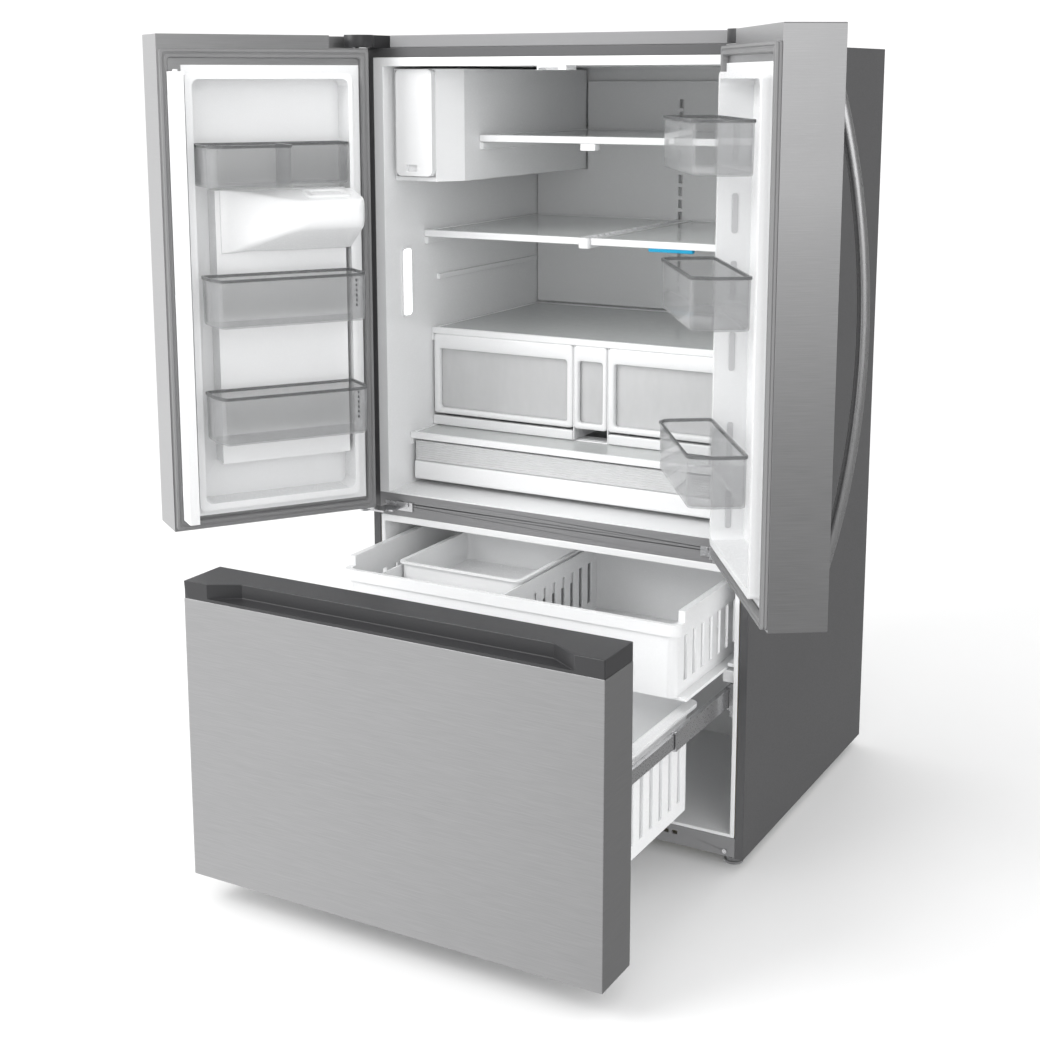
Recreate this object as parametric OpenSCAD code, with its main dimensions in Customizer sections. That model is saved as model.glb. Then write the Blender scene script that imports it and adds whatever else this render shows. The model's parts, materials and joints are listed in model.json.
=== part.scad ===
// French door refrigerator: two doors over a deep freezer drawer.
// The floor is z = 0, the front of the case is y = 0 and x = 0 is the middle.
// It stands with both doors open and the freezer drawer pulled out.

/* [Case] */
// Width of the case
case_w = 908; // [800:1:1000]
// Depth of the case, without the doors
case_d = 770; // [700:1:860]
// Height of the underside of the case above the floor
case_base = 25; // [25:1:40]
// Height of the top panel above the floor
case_top = 1685; // [1640:1:1800]
// Thickness of the steel sheet
sheet = 2; // [1:0.5:3]
// Thickness of the plastic liners
liner_t = 3; // [2:0.5:4]
// Side wall of the fresh food compartment, with its insulation
side_wall = 43; // [38:1:60]
// Side wall of the freezer, with its insulation
freezer_wall = 30; // [26:1:45]
// Ceiling of the fresh food compartment, with its insulation
top_wall = 39; // [34:1:60]
// Back wall of the fresh food compartment, with its insulation
back_wall = 68; // [50:1:90]
// Height of the lower edge of the centre mullion
mullion_low = 653; // [640:1:680]
// Height of the fresh food compartment's floor
fresh_floor = 707; // [700:1:730]
// Height of the freezer's floor
freezer_floor = 77; // [70:1:90]

/* [Doors] */
// Thickness of a door
door_t = 104.7; // [90:0.1:120]
// Height of the lower edge of the doors
door_low = 684.5; // [682:0.5:690]
// Height of the upper edge of the doors above the top panel
door_over = 24.3; // [20:0.1:30]
// Gap between the two doors
door_split = 4; // [3:0.5:8]
// Gap between the case and a closed door
door_gap = 12; // [10:0.5:16]
// Angle that the doors stand open
door_open = 124; // [95:1:124]
// Depth of the pocket in the back of a door
pocket_d = 43; // [20:1:50]
// Reach of a door bin from the back of the door
bin_reach = 130; // [90:1:132]

/* [Handles] */
// Height of the lower end of a bow handle
handle_low = 745; // [720:1:860]
// Height of the upper end of a bow handle
handle_high = 1645; // [1500:1:1660]
// Reach of the bow from the front of the door
handle_reach = 66; // [50:1:90]
// Width of the bow
handle_w = 24; // [18:1:32]
// Thickness of the bow
handle_t = 20; // [14:1:26]

/* [Freezer drawer] */
// Thickness of the drawer front
drawer_t = 109; // [90:1:120]
// Height of the lower edge of the drawer front
drawer_low = 61; // [50:1:68]
// Height of the upper edge of the steel panel
drawer_split = 633.4; // [600:0.1:640]
// Height of the upper edge of the grip cap
drawer_high = 668; // [660:1:668]
// Distance that the drawer stands out
drawer_out = 527; // [300:1:540]
// Distance that the basket stands out
basket_out = 235; // [100:1:240]

/* [Shelves and bins] */
// Height of the upper face of the top shelf
top_shelf_z = 1498; // [1460:1:1520]
// Height of the upper face of the middle shelf
middle_shelf_z = 1283; // [1240:1:1300]
// Height of the upper face of the crisper cover
crisper_cover_z = 1057; // [1057:1:1080]
// Height of the upper face of the deli pan's cover
deli_cover_z = 828; // [820:1:832]
// Depth of the front edge of the crispers behind the case front
crisper_y = 183; // [170:1:200]
// Half width of the narrow middle bin
middle_bin_half = 39; // [30:1:50]
// Wall of the clear bins
bin_wall = 3; // [2:0.5:4]
// Clearance between a sliding or loose piece and its neighbour
slack = 2; // [1:0.5:4]
// Width of the ice maker's housing
ice_w = 141; // [120:1:150]

/* [Fits] */
// Radius of the door hinge pins
hinge_pin_r = 5; // [4:0.5:6]
// Radius of the smaller pins
small_pin_r = 2.5; // [2:0.25:3]
// Radial clearance of a pin that turns in its bore
pin_fit = 0.05; // [0.03:0.01:0.09]
// Gap that keeps two stacked pieces apart
seam = 0.2; // [0.1:0.05:0.4]
// Radius of the water inlet tube
inlet_r = 3.175; // [3:0.005:5]

/* [Hidden] */

$fn = 48;
past = 1;
skin = 1.5;
inlet_x = 300;
inlet_z = 255;
case_x = case_w / 2;
flange_x = case_x - 18;
flange_top = case_top - 20;
fresh_x = case_x - side_wall;
fresh_top = case_top - top_wall;
fresh_back = case_d - back_wall;
freezer_x = case_x - freezer_wall;
freezer_top = mullion_low - 16;
freezer_flange_x = freezer_x + 10;
freezer_back = case_d - 130;
step_y = case_d - 280;
step_z = 320;
foam_y = 14;
door_w = (case_w - door_split) / 2;
door_high = case_top + door_over;
axis_u = 11;
axis_w = -38;
rail_z = 370;
hinge_x = case_x - axis_u;
hinge_y = axis_w - door_gap;
bin_x = fresh_x - 5;
divider_half = middle_bin_half + 3;
crisper_low = deli_cover_z + 28;
crisper_top = crisper_cover_z - 7;
crisper_back = fresh_back - 92;

steel = "silver";
dark_steel = "dimgray";
grey = "darkgray";
white = "white";
clear = [0.85, 0.88, 0.9, 0.45];

// A block between two opposite corners.
module block(low, high) {
    translate(low) cube(high - low);
}

// The same piece on the left and on the right.
module both_sides() {
    children();
    mirror([1, 0, 0]) children();
}

// A rectangle with true round corners, from its lower left corner.
module round_rect(size, r) {
    translate([r, 0]) square([size[0] - 2 * r, size[1]]);
    translate([0, r]) square([size[0], size[1] - 2 * r]);
    for (x = [r, size[0] - r])
        for (y = [r, size[1] - r])
            translate([x, y]) circle(r);
}

// A plate that stands in the x-z plane, with round corners, between two depths.
module upright_plate(x0, x1, z0, z1, y0, y1, r) {
    translate([x0, y1, z0])
        rotate([90, 0, 0])
            linear_extrude(y1 - y0) round_rect([x1 - x0, z1 - z0], r);
}

// A box that lies in the x-y plane, with round upright edges.
module round_box(low, high, r) {
    translate(low)
        linear_extrude(high[2] - low[2])
            round_rect([high[0] - low[0], high[1] - low[1]], r);
}

// An open box with a floor, a wall and round upright edges.
module tub(low, high, wall, floor_t, r) {
    difference() {
        round_box(low, high, r);
        round_box([low[0] + wall, low[1] + wall, low[2] + floor_t],
            [high[0] - wall, high[1] - wall, high[2] + past], r - wall);
    }
}

// A cylinder along x.
module rod_x(x0, x1, y, z, r) {
    translate([x0, y, z]) rotate([0, 90, 0]) cylinder(h = x1 - x0, r = r);
}

// A cylinder along y.
module rod_y(y0, y1, x, z, r) {
    translate([x, y1, z]) rotate([90, 0, 0]) cylinder(h = y1 - y0, r = r);
}

// ---------------------------------------------------------------- case

module case_wrapper() color(dark_steel) difference() {
    block([-case_x, 0, case_base], [case_x, case_d, case_top]);
    block([sheet - case_x, sheet, case_base - past],
        [case_x - sheet, case_d + past, case_top - sheet]);
    block([-flange_x, -past, case_base - past], [flange_x, sheet + past, flange_top]);
    for (side = [-1, 1])
        translate([side * hinge_x, 30, case_top - sheet - past])
            cylinder(h = sheet + 2 * past, r = 2.2);
}

module rear_panel() color(grey)
    block([sheet + seam - case_x, case_d - sheet, step_z + 10],
        [case_x - sheet - seam, case_d, case_top - sheet - seam]);

module machine_cover() color(grey) difference() {
    block([sheet + seam - case_x, case_d - sheet, case_base + 3],
        [case_x - sheet - seam, case_d, step_z + 10 - seam]);
    for (x = [94 - case_x : 60 : case_x - 94])
        for (z = [90 : 30 : 270])
            block([x - 22, case_d - sheet - past, z], [x + 22, case_d + past, z + 8]);
    rod_y(case_d - sheet - past, case_d + past, inlet_x, inlet_z, inlet_r + slack);
}

module case_foam() color("khaki") {
    gap = 0.5;
    out = case_x - sheet - gap;
    fresh_in = fresh_x + liner_t + gap;
    freezer_in = freezer_x + liner_t + gap;
    back = case_d - sheet - gap;
    shelf_z = fresh_floor - liner_t - gap;
    roof_z = fresh_top + liner_t + gap;
    both_sides() {
        block([fresh_in, foam_y, shelf_z + gap], [out, back, case_top - sheet - gap]);
        block([freezer_in, foam_y, case_base + 50], [out, back, shelf_z]);
    }
    block([gap - fresh_in, foam_y, roof_z], [fresh_in - gap, back, case_top - sheet - gap]);
    block([gap - fresh_in, fresh_back + liner_t + gap, shelf_z + gap],
        [fresh_in - gap, back, roof_z - gap]);
    block([gap - freezer_in, foam_y, freezer_top + liner_t + gap],
        [freezer_in - gap, back, shelf_z]);
    block([gap - freezer_in, freezer_back + liner_t + gap, step_z],
        [freezer_in - gap, back, freezer_top + liner_t]);
    block([gap - freezer_in, step_y + liner_t + gap, step_z - 40],
        [freezer_in - gap, back, step_z - liner_t - gap]);
    block([gap - freezer_in, step_y + liner_t + gap, freezer_floor - liner_t],
        [freezer_in - gap, step_y + 40, step_z - 40 - gap]);
    block([gap - freezer_in, foam_y, case_base + 27],
        [freezer_in - gap, step_y + 40, freezer_floor - liner_t - gap]);
}

// A small shelf rail on both side walls of the fresh food compartment.
module wall_rail(y0, y1, z0, z1, deep) {
    both_sides() block([fresh_x - deep, y0, z0], [fresh_x + 1, y1, z1]);
}

module fresh_food_liner() color(white) {
    difference() {
        union() {
            block([-fresh_x - liner_t, 0, fresh_floor - liner_t],
                [fresh_x + liner_t, fresh_back + liner_t, fresh_top + liner_t]);
            block([seam - flange_x, 0, fresh_floor - liner_t],
                [flange_x - seam, liner_t, flange_top - seam]);
        }
        block([-fresh_x, -past, fresh_floor], [fresh_x, fresh_back, fresh_top]);
    }
    wall_rail(211, shelf_back - 6, 1165, 1177, 7);
    wall_rail(160, shelf_back, middle_shelf_z - 32, middle_shelf_z - 16 - seam, 9);
    wall_rail(crisper_y + 4, shelf_back, crisper_cover_z - 32, crisper_cover_z - 16, 5);
    wall_rail(92, shelf_back, deli_cover_z - 30, deli_cover_z - 15 - seam, 5);
    block([fresh_x - 9, 170, top_shelf_z - 32],
        [fresh_x + 1, shelf_back, top_shelf_z - 16 - seam]);
    flip_guide();
}

// The side outline of the freezer's cavity, grown outwards by t.
function freezer_outline(t) = [
    [-past * (t == 0 ? 1 : 0), freezer_floor - t],
    [step_y + t, freezer_floor - t],
    [step_y + t, step_z - t],
    [freezer_back + t, step_z - t],
    [freezer_back + t, freezer_top + t],
    [-past * (t == 0 ? 1 : 0), freezer_top + t]];

// An outline in the y-z plane, made solid between two x positions.
module across(x0, x1, points) {
    translate([x0, 0, 0])
        rotate([90, 0, 90])
            linear_extrude(x1 - x0) polygon(points);
}

module freezer_liner() color(white) {
    difference() {
        union() {
            across(-freezer_x - liner_t, freezer_x + liner_t, freezer_outline(liner_t));
            block([-freezer_flange_x, 0, freezer_floor - 7],
                [freezer_flange_x, liner_t, mullion_low - seam]);
        }
        across(-freezer_x, freezer_x, freezer_outline(0));
    }
    basket_rails();
}

module center_mullion() color(grey) difference() {
    block([seam - flange_x, 0, mullion_low], [flange_x - seam, 12, fresh_floor - liner_t - seam]);
    for (side = [-1, 1])
        for (x = [case_x - 60, case_x - 92])
            rod_y(-past, 12 + past, side * x, mullion_low + 28, 2.2);
}

module base_plate() color(grey) difference() {
    block([seam - flange_x, 0, case_base + 2], [flange_x - seam, 6, freezer_floor - 7 - seam]);
    for (side = [-1, 1])
        rod_y(-past, 6 + past, side * (case_x - 40), case_base + 13, 2.2);
    for (x = [-300 : 20 : 300])
        block([x - 6, -past, case_base + 24], [x + 6, 6 + past, case_base + 32]);
}

foot_x = case_x - 36;
foot_y = 42;
roller_x = case_x - 70;
roller_y = case_d - 60;
roller_r = 22;

module base_frame() color(grey) difference() {
    union() {
        both_sides() {
            block([case_x - 60, 12, case_base + 2], [case_x - 14, case_d - 8, case_base + 10]);
            for (x = [roller_x - 13, roller_x + 10])
                block([x, roller_y - 16, roller_r - 8], [x + 3, roller_y + 16, case_base + 3]);
        }
        block([-case_x + 60, 12, case_base + 2], [case_x - 60, 50, case_base + 10]);
        block([-case_x + 60, step_y + 20, case_base + 2], [case_x - 60, case_d - 8, case_base + 5]);
    }
    for (side = [-1, 1]) {
        translate([side * foot_x, foot_y, 0]) cylinder(h = 100, r = 6 + pin_fit * 4);
        translate([side * roller_x, roller_y, case_base])
            block([-9, -26, -past], [9, 26, 12]);
    }
    rod_x(-case_x, case_x, roller_y, roller_r, 4 + pin_fit);
}

module levelling_feet() color(grey) both_sides() translate([foot_x, foot_y, 0]) {
    cylinder(h = 5, r = 20);
    cylinder(h = 12, r = 15);
    cylinder(h = 20, r = 8, $fn = 6);
    cylinder(h = 50, r = 6);
}

// Two wheels on one axle, which turns in the frame's cheeks.
module rear_rollers() color(dark_steel) {
    both_sides() rod_x(roller_x - 8, roller_x + 8, roller_y, roller_r, roller_r);
    rod_x(-roller_x - 14, roller_x + 14, roller_y, roller_r, 4);
}

module top_trim() color(grey)
    block([-case_x + 62, 0, case_top + seam], [case_x - 62, 62, case_top + 26]);

// Outline of a hinge cover: a neck with a round front end over the hinge pin.
module cover_outline(grow) {
    translate([hinge_x - 30 - grow, hinge_y]) square([41 + grow, 60 - hinge_y + grow]);
    intersection() {
        translate([hinge_x - 4, hinge_y]) circle(34 + grow);
        translate([hinge_x - 60, hinge_y - 60]) square([71, 100]);
    }
}

module hinge_covers() color(dark_steel) both_sides() difference() {
    translate([0, 0, case_top + 0.3]) linear_extrude(26) cover_outline(0);
    translate([0, 0, case_top]) linear_extrude(14) arm_outline(1);
}

// Outline of the upper hinge arm, from the top panel to the pin.
module arm_outline(grow) {
    translate([hinge_x - 14 - grow, hinge_y]) square([22 + 2 * grow, 50 - hinge_y + grow]);
    translate([hinge_x - 3, hinge_y]) circle(11 + grow);
}

lower_plate_z = 671;
module hinge_brackets() color(steel) both_sides() {
    difference() {
        union() {
            translate([0, 0, case_top + seam]) linear_extrude(4) arm_outline(0);
            translate([hinge_x, hinge_y, case_top - 32]) cylinder(h = 38, r = hinge_pin_r);
        }
        translate([hinge_x, 30, case_top]) cylinder(h = 20, r = 2.2);
    }
    difference() {
        union() {
            block([case_x - 106, -3.2, lower_plate_z - 4], [case_x - 34, -seam, lower_plate_z + 16]);
            block([case_x - 74, hinge_y + 16, lower_plate_z], [case_x - 34, -3, lower_plate_z + 4]);
            block([case_x - 60, hinge_y, lower_plate_z], [hinge_x + 8, hinge_y + 30, lower_plate_z + 4]);
            translate([hinge_x, hinge_y, lower_plate_z]) cylinder(h = 4, r = 11);
            translate([hinge_x, hinge_y, lower_plate_z]) cylinder(h = 38, r = hinge_pin_r);
        }
        for (x = [case_x - 60, case_x - 92])
            rod_y(-5, past, x, mullion_low + 28, 2.2);
    }
}

module screws() color(steel) {
    for (side = [-1, 1]) {
        for (x = [case_x - 60, case_x - 92]) {
            rod_y(-6.2, -3.2 - seam / 4, side * x, mullion_low + 28, 4.5);
            rod_y(-3.6, 11, side * x, mullion_low + 28, 2);
        }
        rod_y(-2.6, -seam / 4, side * (case_x - 40), case_base + 13, 5);
        rod_y(-past, 5, side * (case_x - 40), case_base + 13, 2);
        translate([side * hinge_x, 30, case_top + 4 + seam + 0.05]) cylinder(h = 3, r = 4.5);
        translate([side * hinge_x, 30, case_top + seam - sheet]) cylinder(h = 5 + sheet, r = 2);
    }
}

// ---------------------------------------------------------------- cooling machine

machine_y = case_d - 120;
module compressor() color("black") translate([-230, machine_y, case_base + 6]) {
    rotate_extrude() polygon([[0, 14], [78, 14], [92, 34], [95, 90], [86, 140], [50, 166], [0, 172]]);
    for (turn = [0 : 90 : 270])
        rotate(turn + 45) block([60, -16, 0], [112, 16, 14.5]);
    translate([60, -20, 120]) rotate([0, 50, 0]) cylinder(h = 60, r = 5);
}

module condenser() color("black") translate([60, machine_y - 75, case_base + 10]) {
    for (x = [0 : 20 : 240]) block([x, 0, 0], [x + 1.5, 150, 170]);
    for (z = [25 : 40 : 145])
        for (y = [25, 75, 125])
            rod_x(-8, 250, y, z, 4);
    block([-14, 0, 0], [-8, 150, 170]);
    block([249.5, 0, 0], [255, 150, 170]);
}

evaporator_y = freezer_back - 68;
module evaporator() color("silver") {
    for (x = [-260 : 20 : 260])
        block([x - 0.75, evaporator_y + 12, step_z + 30], [x + 0.75, freezer_back - 6, freezer_top - 100]);
    for (z = [step_z + 50 : 40 : freezer_top - 120])
        for (y = [evaporator_y + 24, freezer_back - 18])
            rod_x(-275, 275, y, z, 4);
    for (x = [-275, 272])
        block([x, evaporator_y + 12, step_z + 30], [x + 3, freezer_back - 6, freezer_top - 100]);
}

module evaporator_cover() color(white) difference() {
    block([2 - freezer_x, evaporator_y, step_z + 1], [freezer_x - 2, evaporator_y + 4, freezer_top - 1]);
    for (x = [-300 : 60 : 300])
        for (z = [step_z + 20, freezer_top - 60])
            block([x - 20, evaporator_y - past, z], [x + 20, evaporator_y + 5, z + 10]);
    rod_y(evaporator_y - past, evaporator_y + 5, 0, freezer_top - 45, 8);
}

// The duct panel on the back wall: full width below, beside the ice maker above.
duct_low = crisper_cover_z + 3;
duct_high = fresh_top - 32;
ice_x = slack / 4 - fresh_x;
ice_side = ice_x + ice_w;
ice_low = 1400;
ice_high = fresh_top - 5;
module air_duct_panel() color(white) difference() {
    union() {
        block([2 - fresh_x, fresh_back - 14, duct_low], [fresh_x - 2, fresh_back - seam, ice_low - 2]);
        block([ice_side + 2, fresh_back - 14, ice_low - 3], [fresh_x - 2, fresh_back - seam, duct_high]);
    }
    for (z = [duct_low + 40 : 30 : duct_high - 60])
        block([-20, fresh_back - 15, z], [-10, fresh_back + 1, z + 20]);
}

// ---------------------------------------------------------------- ice maker

ice_front = 42;
ice_outlet = [ice_x + 62, 70];
ice_back = fresh_back - 14 - slack;
bucket_back = ice_back - 329;
bucket_side = ice_x + 107;
module ice_plan(x0, x1, x2, y0, y1, y2) {
    polygon([[x0, y0], [x1, y0], [x2, y1], [x2, y2], [x0, y2]]);
}

module ice_maker_housing() color(white) difference() {
    union() {
        translate([0, 0, ice_low]) linear_extrude(ice_high - ice_low)
            ice_plan(ice_x, bucket_side, ice_side, ice_front, ice_front + 62, ice_back);
        block([ice_side - past, 170, top_shelf_z - 32], [ice_side + 8, ice_back, top_shelf_z - 16 - seam]);
    }
    block([ice_x + 3, ice_front - past, ice_low + 10], [bucket_side - 4, ice_back - 30, ice_high - 4]);
    translate([ice_outlet[0], ice_outlet[1], ice_low - past]) cylinder(h = 20, r = 26);
}

module ice_maker() color("lightgray") translate([ice_x + 10, 0, ice_high - 100]) difference() {
    block([0, bucket_back + 3, 0], [80, ice_back - 86, 70]);
    for (y = [bucket_back + 15 : 32 : ice_back - 106]) block([6, y, 30], [74, y + 24, 71]);
}

// The bucket pulls out with its front cover. Its floor has the outlet for the ice.
module ice_bucket() color(white) difference() {
    union() {
        upright_plate(ice_x + 14.5, bucket_side - 1, ice_low + 12, ice_high - 1,
            ice_front - 16, ice_front - seam, 12);
        block([ice_x + 14.5, ice_front - 2, ice_low + 12], [bucket_side - 7, bucket_back, ice_low + 150]);
    }
    block([ice_x + 18.5, ice_front + 3, ice_low + 16],
        [bucket_side - 11, bucket_back - 4, ice_low + 151]);
    translate([ice_outlet[0], ice_outlet[1], ice_low + 11]) cylinder(h = 20, r = 24);
    block([ice_x + 40, ice_front - 20, ice_low + 22], [bucket_side - 40, ice_front - 6, ice_low + 36]);
}

// ---------------------------------------------------------------- fresh food fittings

module light_strips() color("ivory") both_sides()
    upright_strip(fresh_x - 3, fresh_x - seam, 65, 99, 1097, 1247);

// A strip on a side wall, with round ends.
module upright_strip(x0, x1, y0, y1, z0, z1) {
    translate([x0, y0, z0])
        rotate([90, 0, 90])
            linear_extrude(x1 - x0) round_rect([y1 - y0, z1 - z0], 8);
}

// The guide under the ceiling that turns the folding bar as the left door shuts.
module flip_guide() difference() {
    block([-34, 1, fresh_top - 9], [34, 46, fresh_top + 1]);
    block([-30, -past, fresh_top - 10], [16, 30, fresh_top - 4]);
}

// A shelf's frame: a deep front trim, side bars and a back bar around the glass.
glass_t = 4;
module shelf_frame(x0, x1, y0, y1, z) {
    difference() {
        block([x0, y0, z - 15], [x1, y1, z]);
        block([x0 - past, y0 + 14, z - 16], [x1 + past, y1 - 8, z - 9]);
        block([x0 + 8, y0 + 10, z - 6 - seam], [x1 - 8, y1 - 8, z + past]);
        block([x0 + 14, y0 + 16, z - 16], [x1 - 14, y1 - 14, z + past]);
    }
}

module glass_pane(x0, x1, y0, y1, z) {
    block([x0 + 8.5, y0 + 10.5, z - 6], [x1 - 8.5, y1 - 8.5, z - 6 + glass_t]);
}

shelf_back = fresh_back - 14 - slack;
shelf_x = fresh_x - 1;
top_shelf_y = 164;
middle_shelf_y = 155;
rib_half = 12;
module shelf_frames() color(white) {
    shelf_frame(ice_side + 1, shelf_x, top_shelf_y, shelf_back, top_shelf_z);
    block([-18, top_shelf_y, top_shelf_z - 30], [18, top_shelf_y + 24, top_shelf_z - 15 - seam]);
    shelf_frame(-shelf_x, -rib_half - 1, middle_shelf_y, shelf_back, middle_shelf_z);
    shelf_frame(rib_half + 1, shelf_x, middle_shelf_y, shelf_back, middle_shelf_z);
    block([-rib_half, middle_shelf_y, middle_shelf_z - 22], [rib_half, shelf_back, middle_shelf_z - 1]);
    block([150, middle_shelf_y + 1, middle_shelf_z - 22],
        [250, middle_shelf_y + 12, middle_shelf_z - 15 - seam]);
}

deli_y = 86;
module shelf_glass() color(clear) {
    glass_pane(ice_side + 1, shelf_x, top_shelf_y, shelf_back, top_shelf_z);
    glass_pane(-shelf_x, -rib_half - 1, middle_shelf_y, shelf_back, middle_shelf_z);
    glass_pane(rib_half + 1, shelf_x, middle_shelf_y, shelf_back, middle_shelf_z);
    glass_pane(-shelf_x, shelf_x, crisper_y, shelf_back, crisper_cover_z);
    glass_pane(-shelf_x, shelf_x, deli_y, crisper_y + 20, deli_cover_z);
}

module drawer_covers() color(white) {
    shelf_frame(-shelf_x, shelf_x, crisper_y, shelf_back, crisper_cover_z);
    for (side = [-1, 1])
        block([side * divider_half - 1, crisper_y + 4, deli_cover_z + seam],
            [side * divider_half + 1, crisper_back + 30, crisper_cover_z - 15 - seam]);
    shelf_frame(-shelf_x, shelf_x, deli_y, crisper_y + 20, deli_cover_z);
    difference() {
        block([-shelf_x, crisper_y + 22, deli_cover_z - 14], [shelf_x, shelf_back, deli_cover_z]);
        for (x = [50 - shelf_x : 240 : shelf_x - 209])
            block([x, crisper_y + 60, deli_cover_z - 15],
                [x + 180, shelf_back - 60, deli_cover_z + 1]);
    }
    both_sides()
        block([divider_half + 2, crisper_y + 2, deli_cover_z + seam],
            [shelf_x, crisper_y + 16, crisper_low - 6]);
}

// A clear drawer behind a white front frame.
module crisper(x0, x1) {
    difference() {
        union() {
            upright_plate(x0, x1, crisper_low, crisper_top - 8, crisper_y, crisper_y + 12, 8);
            block([x0 + 3, crisper_y + 10, crisper_low + 2], [x1 - 3, crisper_back, crisper_top - 14]);
        }
        block([x0 + 3 + bin_wall, crisper_y + 12 + bin_wall, crisper_low + 2 + bin_wall],
            [x1 - 3 - bin_wall, crisper_back - bin_wall, crisper_top]);
        upright_plate(x0 + 16, x1 - 16, crisper_low + 14, crisper_top - 30,
            crisper_y - past, crisper_y + 8, 4);
    }
}

module left_crisper() color(clear) crisper(-bin_x + 1, -divider_half - 2);
module middle_bin() color(clear) crisper(-divider_half + 2, divider_half - 2);
module right_crisper() color(clear) crisper(divider_half + 2, bin_x - 1);

pan_low = fresh_floor + 8;
module deli_pan() color(clear) difference() {
    union() {
        block([-bin_x + 8, deli_y + 18, pan_low], [bin_x - 8, deli_y + 26, pan_low + 44]);
        block([-bin_x + 8, deli_y + 4, pan_low + 44], [bin_x - 8, deli_y + 26, deli_cover_z - 19]);
        block([-bin_x + 8, deli_y + 20, pan_low], [bin_x - 8, crisper_back, deli_cover_z - 22]);
    }
    block([-bin_x + 12, deli_y + 30, pan_low + 4], [bin_x - 12, crisper_back - 4, deli_cover_z]);
    block([-bin_x + 24, deli_y + 9, pan_low + 48], [bin_x - 24, deli_y + 31, deli_cover_z]);
}

// ---------------------------------------------------------------- freezer fittings

slide_y = 10;
slide_end = evaporator_y - 32;
module slide_outer() color(steel) both_sides() {
    difference() {
        block([freezer_x - 16, slide_y, rail_z - 26], [freezer_x - 10, slide_end, rail_z + 26]);
        block([freezer_x - 17, slide_y - past, rail_z - 22],
            [freezer_x - 12, slide_end + past, rail_z + 22]);
    }
    for (y = [slide_y, slide_y + 250, slide_end - 40])
        block([freezer_x - 10, y, rail_z - 40], [freezer_x - seam, y + 30, rail_z + 30]);
}

module slide_middle() color(steel) translate([0, -drawer_out / 2, 0]) both_sides() difference() {
    block([freezer_x - 22, slide_y, rail_z - 20], [freezer_x - 12.4, slide_end, rail_z + 20]);
    block([freezer_x - 23, slide_y - past, rail_z - 16],
        [freezer_x - 15, slide_end + past, rail_z + 16]);
}

module slide_inner() color(steel) translate([0, -drawer_out, 0]) both_sides() {
    block([freezer_x - 26, 3 + seam - door_gap, rail_z - 14], [freezer_x - 15.6, slide_end, rail_z + 14]);
    block([freezer_x - 30, seam - door_gap + 11, rail_z - 40], [freezer_x - 26, slide_y + 60, rail_z + 28]);
}

basket_x = freezer_x - 30;
rail_top = rail_z + 58;
// The rails on the freezer's side walls that carry the upper basket.
module basket_rails() both_sides() {
    block([basket_x + 2, 12, rail_top - 26], [freezer_x + 1, evaporator_y - 12, rail_top]);
    block([basket_x + 12, 12, rail_top + 8], [freezer_x + 1, evaporator_y - 12, rail_top + 16]);
}

basket_low = rail_top + seam;
basket_y = 25;
basket_end = evaporator_y - 107;
basket_rim = 585;
tray_w = 292;
tray_x = -296;
tray_flange = 6;
divider_x = [tray_x - 5, tray_x + tray_w + 2];
module upper_basket() color(white) translate([0, -basket_out, 0]) difference() {
    union() {
        round_box([-basket_x + 10, basket_y + 6, basket_low + 6],
            [basket_x - 10, basket_end - 4, basket_rim - 4], 16);
        round_box([-basket_x, basket_y, basket_rim - 24], [basket_x, basket_end, basket_rim], 18);
        both_sides() {
            block([basket_x - 22, basket_y + 30, basket_rim - 10],
                [basket_x, basket_end - 4, basket_rim + 22]);
            block([basket_x - 20, basket_y + 20, basket_low],
                [basket_x + 10, basket_end - 10, basket_low + 7]);
        }
    }
    difference() {
        round_box([-basket_x + 14, basket_y + 10, basket_low + 10],
            [basket_x - 14, basket_end - 8, basket_rim + 60], 12);
        for (x = divider_x)
            block([x, basket_y, basket_low], [x + 3, basket_end, basket_rim + tray_flange - seam]);
    }
    for (y = [basket_y + 50 : 42 : basket_end - 40])
        block([-basket_x - past, y, basket_low + 30], [basket_x + past, y + 16, basket_rim - 34]);
}

module small_tray() color(white) translate([0, -basket_out, 0]) difference() {
    union() {
        tub([tray_x, basket_y + 80, basket_rim - 60],
            [tray_x + tray_w, basket_end - 80, basket_rim + 10], 3, 3, 14);
        difference() {
            round_box([tray_x - tray_flange, basket_y + 74, basket_rim + tray_flange],
                [tray_x + tray_w + tray_flange, basket_end - 74, basket_rim + 10], 18);
            round_box([tray_x + 3, basket_y + 83, basket_rim],
                [tray_x + tray_w - 3, basket_end - 83, basket_rim + 20], 11);
        }
    }
}

bin_half = freezer_x - 50;
module freezer_bin() color(white) translate([0, -drawer_out, 0]) difference() {
    union() {
        round_box([-bin_half, 4, 168], [bin_half, step_y - 66, rail_z + 26], 18);
        round_box([-bin_half - 20, 2, rail_z + 20], [bin_half + 20, step_y - 62, rail_z + 28], 20);
    }
    round_box([4 - bin_half, 8, 172], [bin_half - 4, step_y - 70, rail_z + 40], 14);
    for (y = [60 : 44 : step_y - 120])
        block([-bin_half - past, y, 196], [bin_half + past, y + 16, rail_z - 30]);
}

front_x = case_x;
drawer_top = drawer_split - seam;
module drawer_panel() color(steel) translate([0, -drawer_out - door_gap, 0]) difference() {
    block([-front_x, -drawer_t, drawer_low], [front_x, 0, drawer_top]);
    block([skin - front_x, skin - drawer_t, drawer_low + skin],
        [front_x - skin, -skin, drawer_top - skin]);
    block([30 - front_x, -2 * skin, drawer_low + 34], [front_x - 30, past, drawer_top - 22]);
}

module drawer_core() color("khaki") translate([0, -drawer_out - door_gap, 0])
    block([skin + seam - front_x, skin + seam - drawer_t, drawer_low + skin + seam],
        [front_x - skin - seam, -skin - seam, drawer_top - skin - seam]);

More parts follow.
